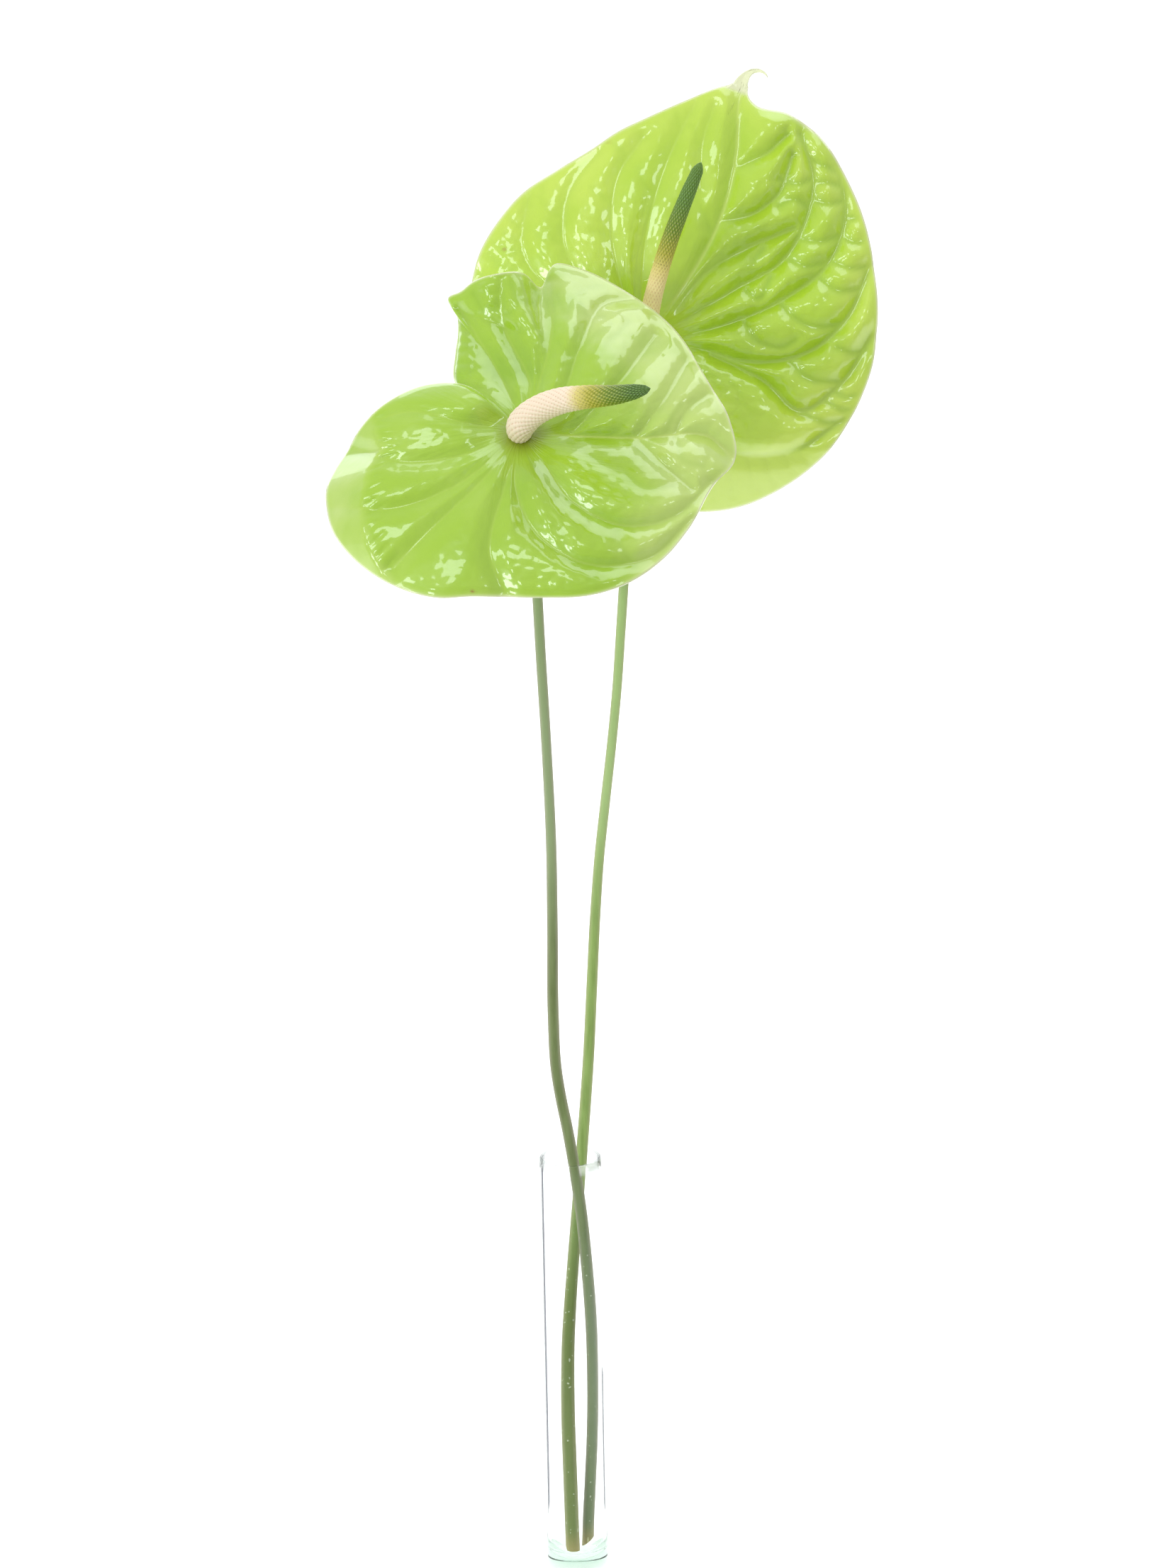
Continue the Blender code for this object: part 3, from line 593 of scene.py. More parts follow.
# %% Front spathe's drawing
FRONT_WAVE = 1.5 * MM
FRONT_ROLLED_BACK = 9 * MM
FRONT_LOWER_LOBE_RISE = 6 * MM
FRONT_UPPER_LOBE_TUCK = 8 * MM
FRONT_OUTLINE = (
    (-243, 9), (-233, 20), (-226, 36), (-213, 48), (-196, 60.5), (-180, 71.2), (-174, 75.2),
    (-168, 81.7), (-162, 88), (-155, 92.1), (-148, 94.8), (-140, 95.7), (-130, 95.4),
    (-121, 94), (-113, 91.3), (-105, 86.6), (-97, 84.8), (-84, 85.5), (-72, 88.5),
    (-60, 89.8), (-48, 88.8), (-36, 86.8), (-19, 86.5), (-11, 92), (3, 89), (18, 84),
    (39, 85.5), (60, 88), (74, 91.5), (80, 92), (84, 78), (89, 85), (98, 85.4), (104, 83.6),
    (109, 80.3), (112.8, 79.8), (113.6, 68.5), (117, 59.8), (123, 51.8), (136, 39.5), (142, 22),
)
FRONT_HUB_ANGLES = (-243, 108)
FRONT_MIDRIB = ((0, 0), (19, -2), (50, -4), (80, -4), (90, -15))
FRONT_VEINS = (
    ((0, 0), (8, -13), (22, -37), (43, -49), (64, -45), (80, -28)),
    ((0, 0), (-3, -24), (4, -49), (30, -69), (53, -66), (72, -46)),
    ((0, 0), (-12, -18), (-41, -52), (-55, -69)),
    ((0, 0), (-8, -30), (-14, -62), (-8, -82)),
    ((0, 0), (-30, -28), (-54, -38), (-80, -37)),
    ((0, 0), (-28, -12), (-52, -14), (-76, -4)),
    ((0, 0), (-24, 6), (-48, 12), (-62, 8)),
    ((0, 0), (14, 12), (26, 45), (37, 68), (50, 71)),
    ((0, 0), (8, 26), (14, 61), (12, 80)),
    ((0, 0), (4, 24), (-7, 57), (-8, 82)),
    ((0, 0), (-4, 16), (-14, 42), (-27, 67)),
    ((22, 0), (41, 24), (58, 50)),
    ((49, -4), (59, 12), (72, 36)),
    ((65, -4), (71, 10), (80, 18)),
    ((49, -4), (61, -19), (72, -31)),
)
FRONT_CROSS_VEINS = (
    ((37, -4), (43, 3), (48, 11)), ((51, -3), (54, 4), (60, 12)), ((62, -4), (63, 5), (68, 13)),
    ((46, -6), (52, -12), (57, -17)), ((66, -6), (69, -16), (77, -19)),
    ((19, -4), (28, -12), (41, -21)), ((41, -19), (53, -30), (64, -29)),
    ((16, 73), (20, 63), (22, 71)), ((26, 74), (30, 77), (41, 78)),
    ((26, 68), (30, 61), (36, 61)), ((-4, 80), (0, 70), (6, 68)),
    ((-20, 75), (-15, 64), (-8, 58)), ((-11, -39), (-1, -38), (1, -50)),
    ((16, -51), (20, -65), (34, -70)), ((40, -52), (43, -64), (47, -70)),
    ((-13, 66), (-4, 64), (0, 72)), ((16, 48), (22, 40), (29, 48), (39, 57)),
    ((39, 48), (44, 54), (47, 58)),
)
FRONT_FOLD_ANGLES = (-190, -172, -158, -148, -138, -125)
FRONT_FOLD_SHARES = (1.0, 0.78, 0.79, 0.84, 0.91, 1.0)
FRONT_FOLD_SLOPE = 0.75
FRONT_CREASE_SPACING, FRONT_CREASE_DEPTH = 4.2, 0.45 * MM
FRONT_LIP_START = (-26 * MM, 66 * MM)
FRONT_LIP_DIRECTION = (0.447, 0.894)
FRONT_LIP_SLOPE = 0.6
FRONT_SPECKS = ((-21.2, -81.0, 0.7),)
print("front veins:", len(FRONT_VEINS), "and cross veins:", len(FRONT_CROSS_VEINS))

# %% Front spathe
def front_form(x, y, angle, share, fold_share):
    """Return the front spathe's large bends."""
    out = np.hypot(x, y)
    away = ramp(SPATHE_DISC, 4 * SPATHE_DISC, out)
    roll = -SPATHE_RECURVE * share ** 4
    fold = -FRONT_FOLD_SLOPE * np.maximum(0.0, 1.0 - fold_share / np.maximum(share, 0.1)) * out
    rolled = ramp(0.55, 1.0, share) * ramp(20, 50, angle) * ramp(90, 78, angle)
    raised = FRONT_LOWER_LOBE_RISE * ramp(-150, -215, angle)
    tucked = -FRONT_UPPER_LOBE_TUCK * ramp(70, 125, angle)
    beyond = ((x - FRONT_LIP_START[0]) * FRONT_LIP_DIRECTION[0]
              + (y - FRONT_LIP_START[1]) * FRONT_LIP_DIRECTION[1])
    lip = FRONT_LIP_SLOPE * np.maximum(0.0, beyond) * ramp(84, 98, angle)
    wave = FRONT_WAVE * np.sin(np.radians(angle) * 9.0) * share ** 3
    return (roll + fold + lip + wave - FRONT_ROLLED_BACK * rolled
            + away * (raised + tucked))


def front_spathe():
    """Make the blade. Its pillows are high on the lip, low on the lower lobe, flat at the edge."""
    x, y, angle, share = spathe_spokes(FRONT_OUTLINE, math.inf, FRONT_HUB_ANGLES)
    fold_share = np.interp(angle, FRONT_FOLD_ANGLES, FRONT_FOLD_SHARES)
    on_lip = ramp(84, 98, angle) * ramp(0.7, 0.85, share)
    lower_lobe = ramp(-70, -115, angle)
    within = ramp(0.0, -0.05, share - fold_share)
    quilted = ramp(1.0, 0.94, share) * within * MM
    pillow = (0.7 + 0.6 * on_lip - 0.4 * lower_lobe) * quilted
    cells = (0.25 + 0.3 * on_lip - 0.15 * lower_lobe) * quilted
    depth, line, valley = quilt(x, y, FRONT_MIDRIB, FRONT_VEINS, FRONT_CROSS_VEINS,
                                0.85 - 0.25 * lower_lobe, pillow, cells, 3)
    folded = ramp(-192, -180, angle) * ramp(-120, -132, angle)
    crease = (0.5 + 0.5 * np.cos(2 * math.pi * angle / FRONT_CREASE_SPACING)) ** 4
    crease = FRONT_CREASE_DEPTH * crease * folded * near(share - fold_share + 0.05, 0.06)
    depth = depth - crease + front_form(x, y, angle, share, fold_share)
    # Tone, partly painted light: a painted sheen pales the right side where the blade turns away,
    # the lip is a little deeper as painted shade, and the blade is paler beyond the fold and on
    # the lower lobe.
    painted_sheen_side = ramp(-75, -30, angle) * ramp(110, 60, angle)
    shade = (0.55 + 0.1 * on_lip - 0.5 * ramp(0.35, 0.9, share) * painted_sheen_side
             - 0.15 * (1.0 - within) - 0.08 * lower_lobe)
    numbers = blade_numbers(x, y, angle, share, line, valley, shade, FRONT_SPECKS)
    points = on_flower(FRONT_FLOWER, x, y, depth)
    return make_blade("front_spathe", points, numbers, [front_wax, underside])


front_blade = front_spathe()
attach(front_blade, "root")
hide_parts("spathe_front")

# %% [markdown]
# ## The back spathe
# It is the larger one and faces the camera. Its right half is deeply quilted, its left half
# calmer, and its lower lobe droops below a fold. At the top the margins run together into a
# pale tail that curls over to the right.

# %% Back spathe's drawing
BACK_WAVE = 1.3 * MM
BACK_OUTLINE = (
    (-113, 10), (-108, 32), (-99, 56), (-85, 74.6), (-70, 82.5), (-60, 86.6), (-52, 89),
    (-42, 92), (-34, 94.4), (-24, 97), (-16, 98.9), (-6, 101.5), (2, 102.8), (20, 107.7),
    (30, 112), (38, 115.5), (44, 118.3), (50, 120.3), (57, 120), (64.3, 117), (66.3, 119.5),
    (66.8, 121.6), (67.1, 124.4), (67.2, 127.4), (67.5, 130.9), (67.7, 133.9), (67.85, 137.4),
    (68, 139.7), (68.25, 135.4), (68.4, 132.4), (68.65, 129.9), (69.05, 127.4), (69.8, 124.5),
    (70.7, 121.7), (73, 118.4), (80, 108.8), (88, 100.5), (96, 94.7), (104, 89.2),
    (116, 85.7), (128, 85.5), (140, 84), (150, 83), (165, 80), (185, 78), (205, 77),
    (219, 68), (230, 50), (238, 28), (241, 10),
)
BACK_HUB_ANGLES = (-113, 241)
BACK_MIDRIB = ((0, 0), (9, 12), (34, 53), (42, 82), (44, 107), (48, 122))
BACK_VEINS = (
    ((0, 0), (17, 9), (42, 23), (61, 34), (72, 52), (76, 70), (71, 91)),
    ((0, 0), (17, 2), (41, 8), (63, 18), (81, 32), (90, 56), (87, 77)),
    ((0, 0), (23, -4), (49, -11), (73, -6), (89, 8), (100, 31)),
    ((29, -7), (53, -20), (67, -33), (85, -22), (100, 0)),
    ((0, 0), (16, -23), (39, -51), (63, -51), (87, -37)),
    ((0, 0), (2, -28), (10, -54), (18, -75)),
    ((13, 13), (28, 30), (45, 40), (67, 49)),
    ((34, 53), (47, 55), (59, 63), (67, 82)),
    ((43, 77), (57, 84), (65, 91)),
    ((0, 0), (-1, 28), (3, 55), (11, 79), (25, 107)),
    ((0, 0), (-10, 25), (-14, 51), (-10, 75), (1, 91)),
    ((0, 0), (-22, 19), (-35, 45), (-32, 67), (-19, 85)),
    ((0, 0), (-36, 19), (-53, 41), (-50, 65)),
    ((0, 0), (-42, 0), (-68, 12), (-72, 32)),
    ((0, 0), (-34, -20), (-62, -28)),
    ((0, 0), (-18, -28), (-34, -52)),
    ((26, 67), (27, 88), (33, 105)),
)
BACK_CROSS_VEINS = (
    ((60, 59), (67, 62), (74, 58)), ((61, 71), (69, 69), (75, 71)), ((70, 44), (78, 43), (86, 45)),
    ((64, 35), (72, 32), (79, 33)), ((60, 15), (65, 10), (71, 6), (80, 5), (86, 6)),
    ((78, 26), (85, 21), (94, 21)), ((83, 34), (90, 31), (98, 31)), ((88, 45), (94, 42), (99, 43)),
    ((90, 53), (94, 53), (99, 53)), ((44, 7), (48, 0), (54, -3), (60, -4), (66, -1)),
    ((64, -11), (71, -18), (85, -20)), ((85, -5), (92, -7), (97, -6)),
    ((68, -34), (79, -38), (91, -38)), ((78, -28), (85, -32), (92, -33)),
    ((82, -24), (88, -27), (95, -26)), ((45, 21), (50, 18), (56, 27)), ((49, 35), (53, 40)),
    ((75, 62), (81, 60), (90, 61)), ((76, 70), (84, 69), (90, 67)), ((75, 80), (81, 77), (87, 74)),
    ((-13, 62), (-18, 65), (-22, 69)), ((-13, 46), (-18, 48), (-22, 49)),
    ((-35, 56), (-41, 59), (-45, 65)), ((-35, 44), (-41, 46), (-46, 48)),
    ((-67, 46), (-62, 42), (-57, 40)), ((-68, 40), (-65, 36), (-57, 32)),
    ((-7, 83), (-10, 87), (-12, 89)), ((17, 96), (16, 101), (15, 104)),
    ((20, 99), (24, 93), (25, 88)), ((30, 48), (26, 58), (22, 66)),
    ((5, 65), (1, 70), (-1, 77)), ((-63, 53), (-60, 48), (-56, 46)),
    ((-61, 58), (-57, 54), (-53, 51)), ((-42, 74), (-44, 71), (-44, 67)),
    ((-30, 72), (-28, 76), (-23, 81), (-19, 84)),
)
BACK_CREASES = (
    ((44, -52), (46, -60), (48, -69)), ((52, -52), (54, -60), (58, -67)),
    ((60, -51), (63, -57), (66, -62)), ((68, -50), (70, -54), (73, -57)),
    ((37, -52), (37, -61), (38, -71)), ((28, -52), (28, -62), (29, -72)),
    ((76, -46), (79, -50), (81, -53)),
)
BACK_BODY_RADIUS = 120 * MM
BACK_DROOP_LINE = -50 * MM
BACK_DROOP_SLOPE = 0.8
BACK_CHEEK_DEPTH = 3 * MM
BACK_TIP_SWEEP = 6 * MM
BACK_TAIL_ANGLE = math.radians(68.0)
BACK_TAIL_START = 122.4 * MM
BACK_TAIL_HEADING = math.radians(84.0)
BACK_TAIL_LENGTH = 20 * MM
BACK_TAIL_LEVEL = 11 * MM
BACK_TAIL_CURL = 1.43
BACK_CREASE_DEPTH, BACK_CREASE_WIDTH = 0.5 * MM, 1.1 * MM
BACK_WRINKLE_DEPTH, BACK_WRINKLE_SIDE, BACK_WRINKLE_SPACING = 0.2 * MM, 0.8 * MM, 3.6 * MM
BACK_SPECKS = ((-61.3, 41.9, 0.5), (-14.3, 89.2, 0.55))
print("back veins:", len(BACK_VEINS), "and cross veins:", len(BACK_CROSS_VEINS))

# %% Back spathe
def back_form(x, y, angle, share):
    """Return the back spathe's large bends."""
    distance = np.hypot(x, y)
    away = ramp(SPATHE_DISC, 4 * SPATHE_DISC, distance)
    roll = -SPATHE_RECURVE * share ** 4
    cheek = BACK_CHEEK_DEPTH * np.sin(math.pi * share) * away
    droop = -BACK_DROOP_SLOPE * np.maximum(0.0, BACK_DROOP_LINE - y)
    tip = ramp(BACK_BODY_RADIUS - 8 * MM, BACK_BODY_RADIUS + 16 * MM, distance)
    wave = BACK_WAVE * np.sin(np.radians(angle) * 8.0) * share ** 3
    return roll + cheek + droop + wave - BACK_TIP_SWEEP * tip


def hook_tail(x, y):
    """Curl the long tail of the back spathe over to the right."""
    axis = BACK_TAIL_ANGLE
    along = x * math.cos(axis) + y * math.sin(axis) - BACK_TAIL_START
    aside = x * math.sin(axis) - y * math.cos(axis)
    way = np.linspace(0.0, BACK_TAIL_LENGTH, 80)
    heading = BACK_TAIL_HEADING * (1.0 - (way / BACK_TAIL_LEVEL) ** BACK_TAIL_CURL)
    middle_x = BACK_TAIL_START * math.cos(axis) + np.cumsum(np.cos(heading)) * way[1]
    middle_y = BACK_TAIL_START * math.sin(axis) + np.cumsum(np.sin(heading)) * way[1]
    turn = np.interp(along, way, heading)
    curled_x = np.interp(along, way, middle_x) + aside * np.sin(turn)
    curled_y = np.interp(along, way, middle_y) - aside * np.cos(turn)
    return np.where(along > 0.0, curled_x, x), np.where(along > 0.0, curled_y, y)


def back_spathe():
    """Make the blade. Its pillows are high right of the midrib and flat at the edge."""
    x, y, angle, share = spathe_spokes(BACK_OUTLINE, BACK_BODY_RADIUS, BACK_HUB_ANGLES)
    right = ramp(0.0, 28 * MM, np.where(y > 0.0, 0.93 * x - 0.37 * y, x))
    above_fold = ramp(BACK_DROOP_LINE - 4 * MM, BACK_DROOP_LINE + 3 * MM, y)
    inside = ramp(1.0, 0.95, share) * above_fold
    pillow = (0.5 + 1.8 * right) * MM * inside
    cells = (0.2 + 0.3 * right) * MM * inside
    depth, line, valley = quilt(x, y, BACK_MIDRIB, BACK_VEINS, BACK_CROSS_VEINS,
                                0.6 + 0.4 * right, pillow, cells, 5)
    wrinkle = ramp(0.7, 0.85, share) * ramp(100, 120, angle) * ramp(200, 180, angle) * inside
    border = small_cells(x + 64 * MM, y - 20 * MM, BACK_WRINKLE_SPACING, 9)
    depth = depth + BACK_WRINKLE_DEPTH * wrinkle * (1.0 - near(border, BACK_WRINKLE_SIDE))
    crease = near(distance_to(BACK_CREASES, x, y), BACK_CREASE_WIDTH) * (1.0 - above_fold)
    depth = depth - BACK_CREASE_DEPTH * crease + back_form(x, y, angle, share)
    # Tone, partly painted light: deeper on the right and paler towards the edge, and paler on the
    # lower part as painted light filling the shadow of the front spathe.
    low = ramp(10 * MM, -40 * MM, y)
    shade = 0.42 + 0.1 * right * above_fold - 0.25 * low - 0.3 * ramp(0.7, 1.0, share)
    numbers = blade_numbers(x, y, angle, share, line, valley, shade, BACK_SPECKS)
    tail = ramp(BACK_BODY_RADIUS - 2 * MM, BACK_BODY_RADIUS + 6 * MM, numbers["out"])
    numbers["margin"] = np.maximum(numbers["margin"], tail)
    x, y = hook_tail(x, y)
    points = on_flower(BACK_FLOWER, x, y, depth)
    return make_blade("back_spathe", points, numbers, [back_wax, underside])


back_blade = back_spathe()
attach(back_blade, "root")
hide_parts("spathe_back")

# %% [markdown]
# ## Tubes along a curve
# Stems and spadices are both tubes along a bent line. A curve object with a round bevel would
# do for a plain stem, but the spadix has relief all over, so one function bends a grid round
# the line, joins its two long sides and closes its ends. The two directions across the line
# are carried along it without twisting, so the rows of florets stay straight.

# %% Tube maker
def ring_axes(path, square_start=None, square_end=None):
    """Return two directions across the path at each of its points, without twisting.

    A direction for an end makes its ring square to that direction.
    """
    tangents = np.gradient(path, axis=0)
    tangents /= np.linalg.norm(tangents, axis=1)[:, None]
    if square_start is not None:
        tangents[0] = square_start
    if square_end is not None:
        tangents[-1] = square_end
    across = np.cross(tangents[0], (0.3, 0.5, 0.2))
    sides = []
    for tangent in tangents:
        across = across - (across @ tangent) * tangent
        across = across / np.linalg.norm(across)
        sides.append(across)
    sides = np.array(sides)
    return sides, np.cross(tangents, sides)


def make_tube(path, axes, radii, numbers):
    """Return a closed bmesh tube. Radii has a row for each ring and a column for each side."""
    sides = radii.shape[1]
    steps = np.arange(sides + 1) % sides
    turns = 2.0 * math.pi * steps / sides
    first, second = (axis[:, None] for axis in axes)
    outward = np.cos(turns)[:, None] * first + np.sin(turns)[:, None] * second
    bm = bent_grid(path[:, None] + radii[:, steps, None] * outward,
                   {key: values[:, steps] for key, values in numbers.items()})
    bmesh.ops.holes_fill(bm, edges=bm.edges, sides=sides)
    bmesh.ops.recalc_face_normals(bm, faces=bm.faces)
    return bm


straight = np.linspace((0.0, 0.0, 0.0), (0.0, 0.0, 1.0), 3)
trial = make_tube(straight, ring_axes(straight), np.ones((3, 8)), {})
print("a trial tube of 8 sides and 2 bands has", len(trial.faces), "faces with its ends")
trial.free()

# %% [markdown]
# ## The spadices
# A spadix is packed with florets in slanting rows, each a low dome with a dot in its middle.
# They are cream at the base, where they have opened, and turn through yellow and olive to a
# dark green towards the tip. The front spadix is the paler one and turns green later. The domes
# are modelled, and each point carries how near it is to the middle of its floret and how far it
# is along the rod, which the material turns to colour. The seams between the domes are darker,
# pinkish in the cream part and a very dark green in the green part: their own colour, deepened
# as painted shade.

# %% Spadix material
def spadix_finish(name, cream, tip, later):
    """Later is how much further along the rod than usual the green begins."""
    skin = Finish(name)
    along = skin.carried("along") - later
    uneven = skin.noise(900.0, 2.0)
    stops = ((0.0, cream), (0.42, cream), (0.5, tone(222, 206, 124)), (0.58, tone(172, 168, 56)),
             (0.7, tone(112, 136, 30)), (0.85, tip), (1.0, tip))
    ripening = skin.node("ValToRGB", {"Fac": along + (uneven - 0.5) * 0.06}, out="Color",
                         stops=stops)
    green = skin.step(along, 0.44, 0.56)
    between = skin.step(skin.carried("floret"), 0.6, 0.1)
    # Seams between the florets: their own colour, deepened as painted shade between the domes.
    seam_and_shade = skin.mix(green, tone(206, 150, 112), tone(30, 42, 12))
    dot = skin.step(skin.carried("floret"), 0.7, 0.9) * green
    middle = skin.mix(skin.step(along, 0.55, 0.9), tone(206, 190, 96), tone(120, 158, 84))
    colour = skin.paint(ripening, (between * 0.9, seam_and_shade), (dot * 0.8, middle))
    return skin.surface(colour, 0.55 - skin.step(along, 0.45, 0.65) * 0.25,
                        skin.bump(uneven, 0.00005, 0.5), IOR=1.4,
                        Coat_Weight=skin.step(along, 0.5, 0.7) * 0.08, Coat_Roughness=0.1)


front_florets = spadix_finish("front_florets", tone(245, 225, 200), tone(70, 102, 20), 0.05)
back_florets = spadix_finish("back_florets", tone(230, 212, 148), tone(92, 126, 40), -0.06)
print("spadix materials:", front_florets.name, back_florets.name)

# %% Spadices
FRONT_SPADIX = ((0, 0, 0.7), (-0.5, 0.8, 2.5), (-0.5, 3.5, 6.5), (2.5, 8, 11.5),
                (8, 12.5, 17.5), (16, 16.2, 25), (26, 18, 34), (40, 19, 46),
                (50, 20.8, 54.5), (54.5, 21.8, 58))
BACK_SPADIX = ((0, 0, 0.7), (0.2, 0.6, 3), (1, 4, 9), (3, 16, 18), (7, 31, 26),
               (11.3, 44, 32), (18, 61, 40), (25.3, 78, 47))
FRONT_SPADIX_RADII = ((0, 4.1), (0.03, 5.3), (0.1, 5.9), (0.33, 5.4), (0.5, 4.8), (0.65, 4.3),
                      (0.8, 3.6), (0.9, 2.8), (0.95, 1.9), (0.99, 1.1), (1, 0.6))
BACK_SPADIX_RADII = ((0, 3.3), (0.03, 3.8), (0.15, 3.9), (0.3, 3.6), (0.5, 3.4), (0.7, 3.2),
                     (0.85, 2.8), (0.95, 2.2), (0.99, 1.4), (1, 0.6))
FLORETS_ROUND = 16
FLORET_SIDES = 8
FLORET_ROW = 1.4 * MM
FLORET_RINGS = 4
FLORET_DOME, FLORET_SUNK = 0.9 * MM, 0.4 * MM
FLORET_SLANT = 0.12
FLORET_HALF_WIDTH, FLORET_HALF_LENGTH, FLORET_ROUNDNESS = 0.56, 1.12, 1.6


def floret_pattern(rings, sides):
    """Return how near each point is to the middle of its floret, 1 there and 0 at its edge."""
    row = np.arange(rings + 1)[:, None] / FLORET_RINGS
    place = np.arange(sides)[None, :] / FLORET_SIDES + FLORET_SLANT * row
    best = np.zeros((rings + 1, sides))
    for offset in (-1, 0, 1):
        middle_row = np.round(row) + offset
        shift = 0.5 * (middle_row % 2)
        aside = (place - shift) - np.round(place - shift)
        best = np.maximum(
            best, 1.0 - (np.abs(aside) / FLORET_HALF_WIDTH) ** FLORET_ROUNDNESS
            - (np.abs(row - middle_row) / FLORET_HALF_LENGTH) ** FLORET_ROUNDNESS)
    return best


def make_spadix(skin, names, nodes, flower, points, radii, share):
    """Make a spadix in two pieces, which meet at a share of its length."""
    x, y, out = np.array(points).T * MM
    line = on_flower(flower, x, y, out)
    length = np.linalg.norm(np.diff(line, axis=0), axis=1).sum()
    rings = round(length / FLORET_ROW) * FLORET_RINGS
    path = smooth_curve(line, rings + 1)
    sides = FLORETS_ROUND * FLORET_SIDES
    along = np.linspace(0.0, 1.0, rings + 1)
    widths = np.interp(along, *zip(*radii)) * MM
    floret = floret_pattern(rings, sides)
    dome = np.sqrt(np.clip(floret, 0.0, 1.0)) * FLORET_DOME * ramp(1.0, 0.96, along)[:, None]
    surface = widths[:, None] + dome - FLORET_SUNK
    numbers = {"along": np.broadcast_to(along[:, None], floret.shape), "floret": floret}
    axes = ring_axes(path, square_start=facing_of(flower[1]))
    split = round(rings * share)
    for name, node, slot, part in zip(names, nodes, ("cream_florets", "green_florets"),
                                      (slice(0, split + 1), slice(split, None))):
        some = {key: value[part] for key, value in numbers.items()}
        bm = make_tube(path[part], [axis[part] for axis in axes], surface[part], some)
        print(name, "has", len(bm.faces), "faces along",
              round((len(path[part]) - 1) * length / rings / MM), "mm")
        piece = finished_object(name, bm, [skin])
        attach(piece, "root")
        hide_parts(node)


make_spadix(front_florets, ("front_florets_cream", "front_florets_green"),
            ("spadix_front_base", "spadix_front_tip"), FRONT_FLOWER,
            FRONT_SPADIX, FRONT_SPADIX_RADII, 0.54)
make_spadix(back_florets, ("back_florets_cream", "back_florets_green"),
            ("spadix_back_base", "spadix_back_tip"), BACK_FLOWER,
            BACK_SPADIX, BACK_SPADIX_RADII, 0.47)

# %% [markdown]
# ## The stems
# A cut stem is a smooth green rod with faint lengthwise ribs, thicker towards its foot. The
# front one is a greyish green and the back one a brighter green, and both are paler and
# slightly mauve on their flanks: their own mauve tint with a painted sheen where they turn from
# view. Each point carries how far it is round to the side for that. A pale bloom lies on their
# middle, and the top of the back one is darker, in the shade of its spathe. Noise stretched
# along the stem gives the streaks, and the part in the vase is darker, with a few tiny pale
# pores and a brown foot. The front stem's foot is cut on a slant, which bisecting with a plane
# gives exactly.

# %% Stem materials
def stem_skin(name, light, dark, flank_and_sheen, low, bloom, shaded):
    """Low is the tone in the vase, and shaded its share at the top. Heights are in metres."""
    skin = Finish(name)
    streaks = skin.noise(500.0, 3.0, (1.0, 1.0, 0.04))
    clouds = skin.noise(25.0, 2.0, (1.0, 1.0, 0.5))
    pores = skin.noise(1500.0, 2.0)
    height = skin.node("SeparateXYZ", {0: skin.place()}, out="Z")
    bloomed = skin.step(height, 0.29, 0.37) * skin.step(height, 0.56, 0.45)
    dots = skin.step(skin.noise(700.0, 0.0), 0.77, 0.8) * skin.step(height, 0.18, 0.14)
    colour = skin.paint(dark, (skin.step(streaks * 0.6 + clouds * 0.4, 0.35, 0.65), light),
                        (bloomed * 0.8, bloom),
                        (skin.step(height, 0.44, 0.49) * shaded, low),
                        (skin.step(height, 0.22, 0.1) * 0.9, low),
                        # Flanks: their own mauve tint together with a painted sheen, paler where
                        # they turn from view.
                        (skin.step(skin.carried("side"), 0.35, 1.0) * 0.5, flank_and_sheen),
                        (skin.step(height, 0.022, 0.007) * 0.6, tone(170, 148, 88)),
                        (dots * 0.6, tone(206, 214, 186)))
    return skin.surface(colour, 0.48 + streaks * 0.15,
                        skin.bump(streaks + pores * 0.4, 0.0001, 0.5), IOR=1.38)


def cut_flesh():
    flesh = Finish("cut_stem_flesh")
    spots = flesh.noise(1800.0, 3.0)
    colour = flesh.mix(flesh.step(spots, 0.4, 0.6), tone(150, 150, 104), tone(196, 196, 150))
    return flesh.surface(colour, 0.6, flesh.bump(spots, 0.0002, 0.5))


front_skin = stem_skin("front_stem_skin", tone(119, 134, 84), tone(101, 115, 66),
                       tone(164, 156, 136), tone(98, 116, 74), tone(152, 170, 124), 0.0)
back_skin = stem_skin("back_stem_skin", tone(153, 180, 102), tone(130, 156, 82),
                      tone(172, 168, 128), tone(92, 108, 42), tone(176, 202, 136), 0.5)
flesh = cut_flesh()
print("stem materials:", front_skin.name, back_skin.name, flesh.name)

# %% Stems
STEM_NECK_RADIUS, STEM_NECK = 2.9 * MM, 30.0 * MM
STEM_LEAD = 2.5 * MM
STEM_CROWDING = 1.6
STEM_RINGS, STEM_SIDES = 300, 32
STEM_RIB, STEM_FINE_RIB = 0.04 * MM, 0.03 * MM
STEM_FOOT_ZONE = 30.0 * MM
GAP = 0.3 * MM
FRONT_STEM = ((4.8, 5.9, 6.7), (5.4, 5.1, 21.4), (6.4, 4.2, 38), (7.6, 2.6, 60),
              (8.2, 1.3, 78), (8.35, 0, 95), (8.1, -1.9, 117), (7.35, -3.3, 135),
              (6.4, -4.6, 150), (4.5, -6.5, 174.5), (1.1, -8.7, 203), (-1.1, -10.2, 217.6),
              (-3.5, -12.1, 231.7), (-5.35, -14.4, 246), (-6.25, -17.9, 273),
              (-5.8, -22.4, 315), (-5.6, -27.3, 355), (-6.8, -33.8, 403), (-8.3, -39.3, 442.6),
              (-9.9, -43, 485), (-12.9, -44, 527), (-14.4, -46.5, 539))
